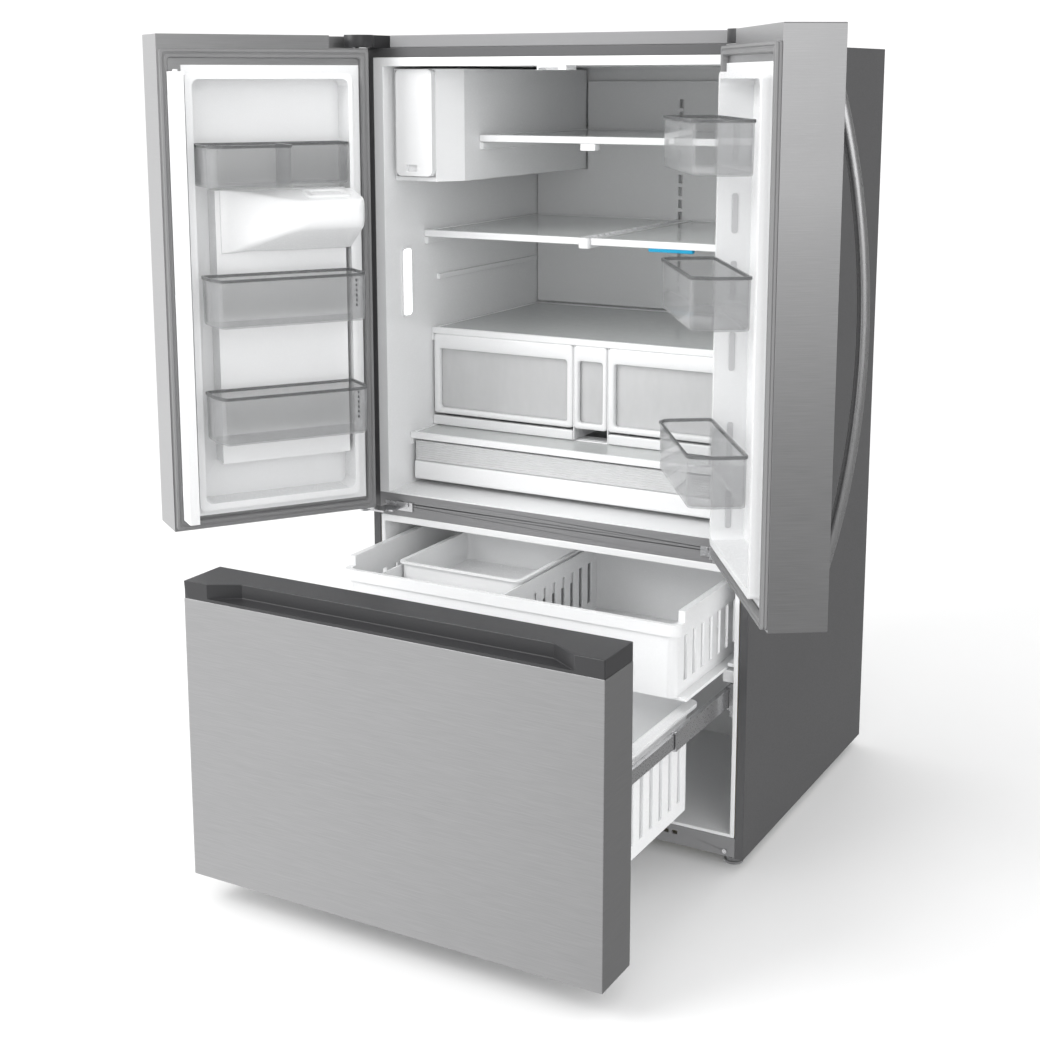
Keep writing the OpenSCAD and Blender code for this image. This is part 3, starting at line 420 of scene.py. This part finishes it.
def lamp(name, strength):
    """A lens that glows, a little brighter in its rows of lights."""
    material, tree, shader, source = start_finish(name, Emission_Strength=strength)
    rows = stretched_noise(tree, source, (20, 20, 40), 1.0)
    glow = tint(tree, rows, (0.95, 0.97, 1.0), (1.0, 1.0, 1.0))
    tree.links.new(glow, shader.inputs["Base Color"])
    tree.links.new(glow, shader.inputs["Emission Color"])
    return material


lamp_lens = lamp("lamp_lens", 2.2)
print("clear finishes:", bin_plastic.name, painted_light_window.name, pane_glass.name)

# %% [markdown]
# ## Finishing the solids
# The solids keep their shape. Each takes the finish of its material slot, and the ones the eye
# can reach get a small rounding on their edges, since a folded sheet or a moulding never has
# a perfectly sharp edge. A weld comes first, so that the rounding sees whole edges.

# %% Finish every solid
FINISH = {
    "case_grey": case_paint, "galvanised": galvanised, "stainless": front_steel,
    "bright_steel": bright_steel, "white_liner": white_plastic, "grey_plastic": grey_plastic,
    "dark_plastic": dark_plastic, "black_gloss": gloss_black, "clear_plastic": bin_plastic,
    "shelf_glass": pane_glass, "lamp_lens": lamp_lens, "seal_rubber": seal_rubber,
    "foam": foam, "black_iron": black_enamel, "coil_metal": coil_metal,
}
slot_of = {s["node"]: s["material_slot"] for s in frame["record"]["subparts"]}
WELD_WITHIN = 1e-5
ROUNDED = {  # millimetres
    "left_door_panel": 1.5, "right_door_panel": 1.5, "drawer_panel": 1.5, "drawer_cap": 2.0,
    "case_wrapper": 0.8, "fresh_food_liner": 2.0, "freezer_liner": 2.0, "left_door_liner": 5.0,
    "right_door_liner": 5.0, "center_mullion": 1.0, "base_plate": 1.0, "top_trim": 2.0,
    "hinge_covers": 2.0, "ice_maker_housing": 4.0, "ice_bucket": 2.0, "shelf_frames": 2.0,
    "drawer_covers": 2.0, "upper_basket": 2.0, "small_tray": 1.5, "freezer_bin": 2.0,
    "flip_mullion": 2.5, "air_duct_panel": 1.5, "drawer_liner": 1.5, "levelling_feet": 0.8,
    "hinge_brackets": 0.6, "slide_outer": 0.6, "slide_middle": 0.6, "slide_inner": 0.6,
    "evaporator_cover": 1.0, "machine_cover": 0.5, "dispenser_panel": 1.2,
}
for name, obj in nodes.items():
    for entry in obj.material_slots:
        entry.link = "OBJECT"
        entry.material = FINISH[slot_of[name]]
    if not obj.material_slots:
        obj.data.materials.append(FINISH[slot_of[name]])
    if name in ROUNDED:
        weld = obj.modifiers.new("whole edges", "WELD")
        weld.merge_threshold = WELD_WITHIN
        add_bevel(obj, ROUNDED[name] * MM)
print("finished solids:", len(nodes), "with rounded edges:", len(ROUNDED))

# %% [markdown]
# ## The bow handles
# Each handle is one steel bar, bent to a single large radius and fixed by its two ends. It
# could be a bevelled curve, but a loft gives the flat oval section of the real bar and lets
# the ends thin out where they meet the door.

# %% Bow handles
HANDLE_STATIONS = 48
SECTION_POINTS = 20
HALF_THICK = 9.8 * MM
END_SLIMMING, END_POWER = 0.35, 5
SQUARE_ACROSS, SQUARE_OUT = 0.6, 0.7  # below 1 the oval section turns squarer
SHARP_ENDS = 60


def bow_handle(side):
    """A bowed bar in the place of the solid one; gives back the radius of its bend."""
    u0, u1, w0, w1, z0, z1 = shut_solids(side, side + "_door_handle")[0]
    rise, reach = w1 - w0, (z1 - z0) / 2
    radius = (reach ** 2 + rise ** 2) / (2 * rise)
    sweep = math.asin(reach / radius)
    wide = (u1 - u0) / 2
    place, rings = on_door(side), []
    for k in range(HANDLE_STATIONS + 1):
        share = 2 * k / HANDLE_STATIONS - 1
        slim = 1 - END_SLIMMING * abs(share) ** END_POWER
        angle, ring = share * sweep, []
        for i in range(SECTION_POINTS):
            t = 2 * math.pi * i / SECTION_POINTS
            c, s = math.cos(t), math.sin(t)
            across = math.copysign(abs(c) ** SQUARE_ACROSS, c) * wide * slim
            bulge = math.copysign(abs(s) ** SQUARE_OUT, s)
            out = radius - HALF_THICK + bulge * HALF_THICK
            w = min(w0 + radius - out * math.cos(angle), w1)
            ring.append(place((u0 + u1) / 2 + across, w, (z0 + z1) / 2 + out * math.sin(angle)))
        rings.append(ring)
    Piece().loft(rings).done(side + "_bow_handle", side + "_door", "stainless", handle_steel,
                             [side + "_door_handle"], angle=SHARP_ENDS)
    return radius


print("bend radius of the handles, m:", [round(bow_handle(side), 3) for side in HAND])

# %% [markdown]
# ## The door seals
# A door seal is a soft extrusion with a magnet in its outer lip and folds beside it. Its
# section is drawn once, as steps inwards and outwards, and each point of the section becomes
# a ring that runs all round the door.

# %% Seals
SEAL_SECTION = [(0.0, 0.0), (0.0, 0.35), (0.10, 0.45), (0.02, 0.62), (0.05, 0.95), (0.30, 1.0),
                (0.42, 0.80), (0.52, 0.80), (0.60, 1.0), (0.86, 0.97), (0.95, 0.70), (1.0, 0.0)]
SEAL_ROUND = 8 * MM
DOOR_SEAL_WIDTH = 18.5 * MM
DRAWER_SEAL_WIDTH = 15.8 * MM


def seal(name, body, corners, width, low, high, place, node):
    """A seal of a given width round a rectangle, between two levels."""
    rings = []
    for inwards, up in SEAL_SECTION:
        level = low + (high - low) * up
        ring = outline(corners, inwards * width, SEAL_ROUND + inwards * width)
        rings.append([place(p.x, level, p.y) for p in ring])
    Piece().loft(rings, closed=True).done(name, body, "seal_rubber", seal_rubber, [node])


for side in HAND:
    u0, u1, w0, w1, z0, z1 = shut_solids(side, side + "_door_gasket")[0]
    seal(side + "_seal", side + "_door", rectangle(u0, u1, z0, z1), DOOR_SEAL_WIDTH, w0, w1,
         on_door(side), side + "_door_gasket")
low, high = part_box("drawer_gasket")
seal("drawer_seal", "drawer", rectangle(low.x, high.x, low.z, high.z), DRAWER_SEAL_WIDTH,
     low.y, high.y, upright, "drawer_gasket")
print("seals: 3, sections of", len(SEAL_SECTION), "points")

# %% [markdown]
# ## The clear door bins
# A bin is one injection moulding: a floor with a soft corner, walls that lean out a little,
# and a thick rim that stiffens it. The outline goes up outside, over the rim and down inside,
# so the wall has a real thickness and catches light as the real one does. A darker band of clear
# plastic runs round each rim: painted shade for the dark look of a clear wall where the eye
# looks along it.

# %% Door bins
BIN_WALL = 2.8 * MM
BIN_ROUND = 12 * MM
BIN_RIM = 1.6 * MM
FREE_CUT, HINGE_CUT = 44 * MM, 16 * MM
FREE_BACK = 14 * MM
STEP_U, SHALLOW_W = 0.215, 0.030
# The section of the painted rim shade as (inwards, upwards) in millimetres from the bin's upper edge.
RIM_SHADE_BAND = [(0.0, -5.2), (-0.6, -4.6), (-0.6, 0.0), (0.2, 0.6), (4.0, 0.6), (4.7, 0.0),
            (4.7, -5.2)]


def vessel(corners, low, high, place):
    """An open vessel with a floor, leaning walls and a rim."""
    inside = BIN_RIM + BIN_WALL
    steps = [(0.006, low), (0.0035, low + 0.0015), (0.0025, low + 0.005),
             (BIN_RIM, high - 0.007), (0.0, high - 0.0055), (0.0, high - 0.0008),
             (0.0008, high), (inside - 0.0008, high), (inside, high - 0.0008),
             (0.0025 + BIN_WALL, low + 0.006), (0.006 + BIN_WALL, low + BIN_WALL)]
    return Piece().loft([[place(p.x, p.y, z) for p in outline(corners, inset, BIN_ROUND)]
                         for inset, z in steps])


def bin_corners(u0, u1, w0, w1):
    """A bin's plan: cut back at its free end, so that the door can swing past a wall."""
    return [(u0, w0), (u1, w0), (u1, w1 - FREE_CUT), (u1 - FREE_BACK, w1), (u0 + HINGE_CUT, w1),
            (u0, w1 - HINGE_CUT)]


def stepped_corners(u0, u1, w0, w1):
    """The plan of the bin above the ice chute, which is shallow over the chute."""
    return [(u0, w0), (u1, w0), (u1, w1 - 0.030), (u1 - 0.012, w1), (STEP_U, w1),
            (STEP_U, SHALLOW_W), (u0, SHALLOW_W)]


for side in HAND:
    bins, place, shade_rings = shut_solids(side, side + "_door_bins"), on_door(side), Piece()
    for number, (u0, u1, w0, w1, z0, z1) in enumerate(bins):
        stepped = side == "left" and number == len(bins) - 1
        corners = (stepped_corners if stepped else bin_corners)(u0, u1, w0, w1)
        vessel(corners, z0, z1, place).done(
            "%s_bin_%d" % (side, number + 1), side + "_door", "clear_plastic",
            bin_plastic, [side + "_door_bins"] if number == 0 else [])
        # A darker band round each rim: painted shade for the edge-on look of the clear wall.
        shade_rings.loft([[place(p.x, p.y, z1 + up * MM)
                    for p in outline(corners, inset * MM, BIN_ROUND)]
                   for inset, up in RIM_SHADE_BAND], closed=True)
    shade_rings.done(side + "_bin_rim_shade", side + "_door", "clear_plastic", rim_shade_plastic)
    print(side, "bins:", len(bins), "heights in mm:", [round(b[4] / MM) for b in bins])

# %% [markdown]
# Along the hinge end of each lower left bin runs a comb of small teeth that hangs the bin on
# the liner. The right door hangs its bins on upright slots. Both are small, but they are what
# tells the eye that the bins lift off.

# %% Hangers and slots
TEETH, TOOTH_LOW, TOOTH_PITCH, TOOTH_HIGH = 6, 22 * MM, 10.5 * MM, 6 * MM
TOOTH_U, TOOTH_W = (4.8 * MM, 6.6 * MM), (64 * MM, 56 * MM)
SLOT_HALF, SLOT_LONG, SLOT_ROUND = 6 * MM, 75 * MM, 6 * MM
SLOT_W = 12 * MM
SLOT_U = (54.6 * MM, 55.5 * MM)
SLOT_LEVELS = (-125 * MM, 10 * MM)

place = on_door("left")
comb = Piece()
for u0, u1, w0, w1, z0, z1 in shut_solids("left", "left_door_bins")[:2]:
    for k in range(TEETH):
        z = z0 + TOOTH_LOW + k * TOOTH_PITCH
        comb.block((u0 + TOOTH_U[0], w1 - TOOTH_W[0], z),
                   (u0 + TOOTH_U[1], w1 - TOOTH_W[1], z + TOOTH_HIGH), place, 0.8 * MM)
comb.done("bin_combs", "left_door", "dark_plastic", dark_plastic)

place = on_door("right")
slots = Piece()
for u0, u1, w0, w1, z0, z1 in shut_solids("right", "right_door_bins"):
    for level in (z0 + up for up in SLOT_LEVELS):
        ring = rectangle(-SLOT_HALF, SLOT_HALF, level, level + SLOT_LONG)
        outer = [place(SLOT_U[0], p.x - SLOT_W, p.y) for p in outline(ring, 0, SLOT_ROUND)]
        inner = [place(SLOT_U[1], p.x - SLOT_W, p.y) for p in outline(ring, MM, SLOT_ROUND)]
        slots.loft([outer, inner])
slots.done("hanger_slots", "right_door", "grey_plastic", pale_plastic)
print("bin hangers made")

# %% [markdown]
# ## The ice chute
# Ice drops from the maker through this housing to the front of the door. It stands out boldly
# beside the hinge and flows back into the door towards the handle side. It could be sculpted,
# but a row of rounded sections along the door, each a little shallower and lower, is exact.

# %% Ice chute
CHUTE_STATIONS = 30
FADE_START, FADE_END = 0.178, 0.335
FRONT_LOW = 1.322
TOP_RISE, TOP_FALL = 8 * MM, 22 * MM
CHUTE_ROUND = 16 * MM
LID_ROUND = 14 * MM
SHARP_CHUTE = 50
u0, u1, w0, w1, z0, z1 = shut_solids("left", "ice_chute")[0]


def ease(t):
    """A step from 0 to 1 with soft ends."""
    t = min(max(t, 0.0), 1.0)
    return t * t * (3 - 2 * t)


def chute_top(w):
    """Height of the chute's top, which falls towards its front."""
    return z1 + TOP_RISE - TOP_FALL * (w - w0) / (w1 - w0)


place, rings = on_door("left"), []
for k in range(CHUTE_STATIONS + 1):
    u = u0 + (FADE_END - u0) * k / CHUTE_STATIONS
    fade = ease((u - FADE_START) / (FADE_END - FADE_START))
    soft_end = 1 - 0.10 * max(0.0, 1 - (u - u0) / 0.012) ** 2
    depth = w0 + (w1 - w0) * (1 - 0.97 * fade) * soft_end
    low_edge = FRONT_LOW - (FRONT_LOW - z0 - 0.004) * fade
    corners = [(w0, z0 + 0.003 * fade), (depth, low_edge), (depth, chute_top(depth)),
               (w0, chute_top(w0))]
    rings.append([place(u, p.x, p.y) for p in outline(corners, 0, CHUTE_ROUND)])
Piece().loft(rings).done("ice_chute_housing", "left_door", "white_liner", white_plastic,
                         ["ice_chute"], angle=SHARP_CHUTE)

u0, u1, w2 = shut_solids("left", "chute_lid")[0][:3]
lid = Piece()
plan = rectangle(u0 + 0.008, u1 + 0.006, w2 - 0.004, w1 - 0.026)
inner = rectangle(u0 + 0.022, u1 - 0.010, w2 + 0.010, w1 - 0.040)
stack = [(plan, 0.001, -0.002), (plan, 0.0, 0.001), (plan, 0.0022, 0.0032),
         (inner, -0.003, 0.0034), (inner, -0.0006, 0.0016), (inner, 0.001, 0.0018)]
lid.loft([[place(p.x, p.y, chute_top(p.y) + up) for p in outline(c, inset, LID_ROUND)]
          for c, inset, up in stack])
lid.done("ice_chute_lid", "chute_lid", "white_liner", white_plastic, ["chute_lid"])
print("chute depth, mm:", round((w1 - w0) / MM))

# %% [markdown]
# ## Crispers
# A crisper is a clear tub that hangs behind a white frame. The frame is a rounded ring with
# a wide upper bar, where the hand goes. The tub is drawn with the same vessel as the bins.

# %% Crispers and middle bin
FRAME_DEPTH = 12 * MM
FRAME_BOTTOM, FRAME_TOP = 13 * MM, 34 * MM
FRAME_ROUND = 8 * MM


def window_frame(low, high, side_bar):
    """A white front: a rounded plate with a rounded window."""
    outer = rectangle(low.x, high.x, low.z, high.z)
    inner = rectangle(low.x + side_bar, high.x - side_bar, low.z + FRAME_BOTTOM, high.z - FRAME_TOP)
    rows = [(outer, 0.0, FRAME_DEPTH), (outer, 0.0, 0.003), (outer, 0.0008, 0.0012),
            (outer, 0.003, 0.0), (inner, -0.003, 0.0), (inner, -0.0008, 0.0012),
            (inner, 0.0, 0.003), (inner, 0.0, FRAME_DEPTH)]
    return Piece().loft([[Vector((p.x, low.y + deep, p.y)) for p in outline(c, inset, FRAME_ROUND)]
                         for c, inset, deep in rows], closed=True)


for node, side_bar in (("left_crisper", 0.014), ("middle_bin", 0.010), ("right_crisper", 0.014)):
    low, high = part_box(node)
    front = window_frame(low, high, side_bar)
    if node == "left_crisper":
        for k in (0, 1):
            x = low.x + 0.024 + k * 0.017
            front.block((x, low.y - 0.0006, high.z - 0.018),
                        (x + 0.003, low.y + 0.001, high.z - 0.015))
    front.done(node + "_front", node, "white_liner", white_plastic)
    tub = rectangle(low.x + 0.003, high.x - 0.003, low.y + FRAME_DEPTH - 0.001, high.y)
    # The tub takes the window plastic, whose near-white colour is painted light for the lit inside of the crisper.
    vessel(tub, low.z + 0.002, high.z - 0.006, upright).done(
        node + "_tub", node, "clear_plastic", painted_light_window, [node])
print("crisper front height, mm:", round((high.z - low.z) / MM))

# %% [markdown]
# The deli pan spans the whole width under the crispers. Its front is clear with fine level
# ribs, above a white bar that carries the weight.

# %% Deli pan
RIB_COUNT, RIB_DEEP = 9, 0.6 * MM
BAR_HIGH = 46 * MM
low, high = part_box("deli_pan")
bar_top = low.z + BAR_HIGH
tub = rectangle(low.x + 0.002, high.x - 0.002, low.y + 0.016, high.y)
# The deli tub and its ribbed front take the window plastic, whose near-white colour is painted light for the lit
# inside of the pan.
vessel(tub, low.z, high.z - 0.003, upright).done(
    "deli_tub", "deli_pan", "clear_plastic", painted_light_window, ["deli_pan"])
section = []
for k in range(RIB_COUNT * 2 + 1):
    z = bar_top + 0.002 + (high.z - bar_top - 0.003) * k / (RIB_COUNT * 2)
    section.append((low.y + 0.002 + (RIB_DEEP if k % 2 else 0.0), z))
section += [(y + 0.003, z) for y, z in reversed(section)]
ribs = Piece().loft([[Vector((x, y, z)) for y, z in section] for x in (low.x, high.x)])
ribs.done("deli_ribbed_front", "deli_pan", "clear_plastic", painted_light_window, angle=20)
bar = Piece()
profile = outline([(low.y + 0.0005, low.z + 0.004), (low.y + 0.015, low.z + 0.001),
                   (low.y + 0.015, bar_top), (low.y + 0.0005, bar_top)], 0, 0.006)
bar.loft([[Vector((x, p.x, p.y)) for p in profile] for x in (low.x - 0.003, high.x + 0.003)])
bar.done("deli_bar", "deli_pan", "white_liner", white_plastic, bevel=0.001)
print("deli pan width, mm:", round((high.x - low.x) / MM))

# %% [markdown]
# ## Small things inside
# A blue clip under the right half shelf, the frame round each light strip, and the knob and the
# toothed track between the two half shelves.

# %% Small things inside
TRACK_TEETH, TRACK_START, TRACK_PITCH = 16, 50 * MM, 28 * MM
TRIM_ROUND = 10 * MM
shelf_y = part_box("shelf_frames")[0].y
clip = Piece()
clip.block((0.1492, shelf_y + 0.0004, 1.2604), (0.2508, shelf_y + 0.0128, 1.2684), upright, 0.002)
clip.done("blue_clip", "case", "white_liner", blue_plastic)

knob = Piece()
knob.block((-0.013, shelf_y - 0.010, 1.2605), (0.013, shelf_y + 0.016, 1.2835), upright, 0.008)
knob.done("shelf_knob", "case", "white_liner", white_plastic, bevel=0.002)
track = Piece()
for k in range(TRACK_TEETH):
    y = shelf_y + TRACK_START + k * TRACK_PITCH
    track.block((-0.006, y, 1.2815), (0.006, y + 0.012, 1.2838), upright, 0.002)
track.done("shelf_track", "case", "grey_plastic", pale_plastic)

low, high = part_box("light_strips")
trims = Piece()
rows = [(0.004, 0.0), (0.004, 0.0034), (0.0, 0.0040), (-0.001, 0.0034), (-0.001, 0.0)]
corners = rectangle(low.y, high.y, low.z, high.z)
for hand in HAND.values():
    trims.loft([[Vector((hand * (high.x - up), p.x, p.y))
                 for p in outline(corners, -out, TRIM_ROUND)] for out, up in rows], closed=True)
trims.done("light_trims", "case", "white_liner", white_plastic)

print("small pieces made")

# %% [markdown]
# ## The dispenser
# Above the recess on the left door sits a flat glass touch panel, and below the paddle a drip
# grille. The panel has no lettering.

# %% Dispenser details
GRILLE_BARS, GRILLE_PITCH = 11, 16.5 * MM
SPOUT_POINTS = 24
u0, u1, w0, w1, z0, z1 = shut_solids("left", "dispenser_panel")[0]
place = on_door("left")
panel = Piece()
screen = rectangle(u0 + 0.022, u1 - 0.022, z1 - 0.052, z1 - 0.012)
rows = [(0.0, 0.001), (0.0, -0.0006), (0.0008, -0.0010)]
panel.loft([[place(p.x, w0 + deep, p.y) for p in outline(screen, inset, 0.006)]
            for inset, deep in rows])
panel.done("touch_panel", "left_door", "black_gloss", dark_plastic)
grille = Piece()
for k in range(GRILLE_BARS):
    u = u0 + 0.034 + k * GRILLE_PITCH
    grille.block((u, w0 + 0.012, z0 + 0.0262), (u + 0.004, w0 + 0.052, z0 + 0.0296), place, 0.0015)
grille.done("drip_grille", "left_door", "dark_plastic", grey_plastic)
spout = Piece()
middle = (u0 + u1) / 2
turns = [2 * math.pi * t / SPOUT_POINTS for t in range(SPOUT_POINTS)]
rings = []
for out, z in ((0.018, z1 - 0.090), (0.017, z1 - 0.104), (0.012, z1 - 0.114), (0.009, z1 - 0.114),
               (0.009, z1 - 0.100)):
    rings.append([place(middle + out * math.cos(t), w0 + 0.036 + out * math.sin(t), z)
                  for t in turns])
spout.loft(rings).done("water_spout", "left_door", "dark_plastic", dark_plastic)
print("dispenser recess, mm:", round((u1 - u0) / MM), "wide")

# %% [markdown]
# ## Stage, light and camera
# A pale floor that rises far behind the object, a large soft light above and to the left, a
# weaker one from the right, and a lamp under the cabinet's ceiling. Steel shows little but its
# surroundings, so it gets its own: the floor is hidden from reflections, and what reflects the
# surround sees it bright on the left and dim on the right. Everything else sees it even.

# %% Stage
BACKDROP = [(-9.0, 0.0), (5.0, 0.0), (6.5, 0.25), (7.6, 1.2), (8.0, 2.6), (8.0, 9.0)]
HALF_STAGE = 14.0
bm = bmesh.new()
rows = [[bm.verts.new((x, y, z)) for x in (-HALF_STAGE, HALF_STAGE)] for y, z in BACKDROP]
for a, b in zip(rows, rows[1:]):
    bm.faces.new((a[0], a[1], b[1], b[0]))
mesh = bpy.data.meshes.new("floor")
bm.to_mesh(mesh)
bm.free()
for face in mesh.polygons:
    face.use_smooth = True
stage = bpy.data.objects.new("floor", mesh)
bpy.context.scene.collection.objects.link(stage)
mesh.materials.append(moulded("floor_paint", (0.90, 0.90, 0.90), 0.6, 40, 0.00002, 0.005))
stage.visible_glossy = False
print("floor faces:", len(mesh.polygons))

# %% Surround and lamps
EVEN_STRENGTH = 1.22
LEFT_STRENGTH, RIGHT_STRENGTH = 1.25, 0.33
FALL_FROM, FALL_TO = -0.80, 0.20  # where the surround starts and ends dimming, from left to right
MIX_A, MIX_B = 2, 3  # sockets of a Mix node for single values

world = bpy.data.worlds.new("surround")
bpy.context.scene.world = world
world.use_nodes = True
tree = world.node_tree
heading = tree.nodes.new("ShaderNodeTexCoord")
parts = tree.nodes.new("ShaderNodeSeparateXYZ")
fall = tree.nodes.new("ShaderNodeMapRange")
fall.interpolation_type = "SMOOTHERSTEP"
fall.inputs["From Min"].default_value = FALL_FROM
fall.inputs["From Max"].default_value = FALL_TO
fall.inputs["To Min"].default_value = LEFT_STRENGTH
fall.inputs["To Max"].default_value = RIGHT_STRENGTH
ray = tree.nodes.new("ShaderNodeLightPath")
choose = tree.nodes.new("ShaderNodeMix")
choose.inputs[MIX_A].default_value = EVEN_STRENGTH
tree.links.new(heading.outputs["Generated"], parts.inputs[0])
tree.links.new(parts.outputs["X"], fall.inputs["Value"])
tree.links.new(ray.outputs["Is Glossy Ray"], choose.inputs[MIX_FACTOR])
tree.links.new(fall.outputs["Result"], choose.inputs[MIX_B])
tree.links.new(choose.outputs[0], tree.nodes["Background"].inputs["Strength"])
tree.nodes["Background"].inputs["Color"].default_value = (1, 1, 1, 1)


def soft_light(name, place, target, size, power):
    """A rectangular light at a place, turned to a target."""
    data = bpy.data.lights.new(name, "AREA")
    data.shape = "RECTANGLE"
    data.size, data.size_y = size
    data.energy = power
    light = bpy.data.objects.new(name, data)
    light.location = place
    aim = Vector(target) - Vector(place)
    light.rotation_mode = "QUATERNION"
    light.rotation_quaternion = aim.to_track_quat("-Z", "Y")
    bpy.context.scene.collection.objects.link(light)


soft_light("key", (-2.4, -3.6, 3.6), (0, 0, 0.9), (2.6, 2.6), 120)
soft_light("fill", (3.4, -3.2, 2.2), (0, 0, 0.9), (2.2, 2.8), 30)
low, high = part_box("fresh_food_liner")
soft_light("ceiling lamp", (0, 0.22, high.z - 0.012), (0, 0.22, low.z), (0.6, 0.2), 36)

# %% [markdown]
# The camera stands to the right at eye level and looks a little down through a fairly long
# lens. The lens is shifted as in a view camera, which moves the object within the frame without
# turning the camera any further.

# %% Camera
STAND = Vector((1.6109, -2.9890, 1.6216))
YAW, PITCH, ROLL = (math.radians(a) for a in (29.40, -10.41, -0.07))
LENS, SENSOR = 56.95, 36
SHIFT_Y = -0.1346
ahead = Vector((-math.sin(YAW) * math.cos(PITCH), math.cos(YAW) * math.cos(PITCH),
                math.sin(PITCH)))
across = Vector((math.cos(YAW), math.sin(YAW), 0))
above = across.cross(ahead)
right = across * math.cos(ROLL) + above * math.sin(ROLL)
above = above * math.cos(ROLL) - across * math.sin(ROLL)
data = bpy.data.cameras.new("camera")
data.lens = LENS
data.sensor_width = SENSOR
data.shift_y = SHIFT_Y
camera = bpy.data.objects.new("camera", data)
axes = Matrix((right, above, -ahead)).transposed()
camera.matrix_world = Matrix.Translation(STAND) @ axes.to_4x4()
bpy.context.scene.collection.objects.link(camera)
bpy.context.scene.camera = camera
bpy.context.scene.view_settings.view_transform = "Standard"
print("camera at", tuple(round(v, 2) for v in STAND))
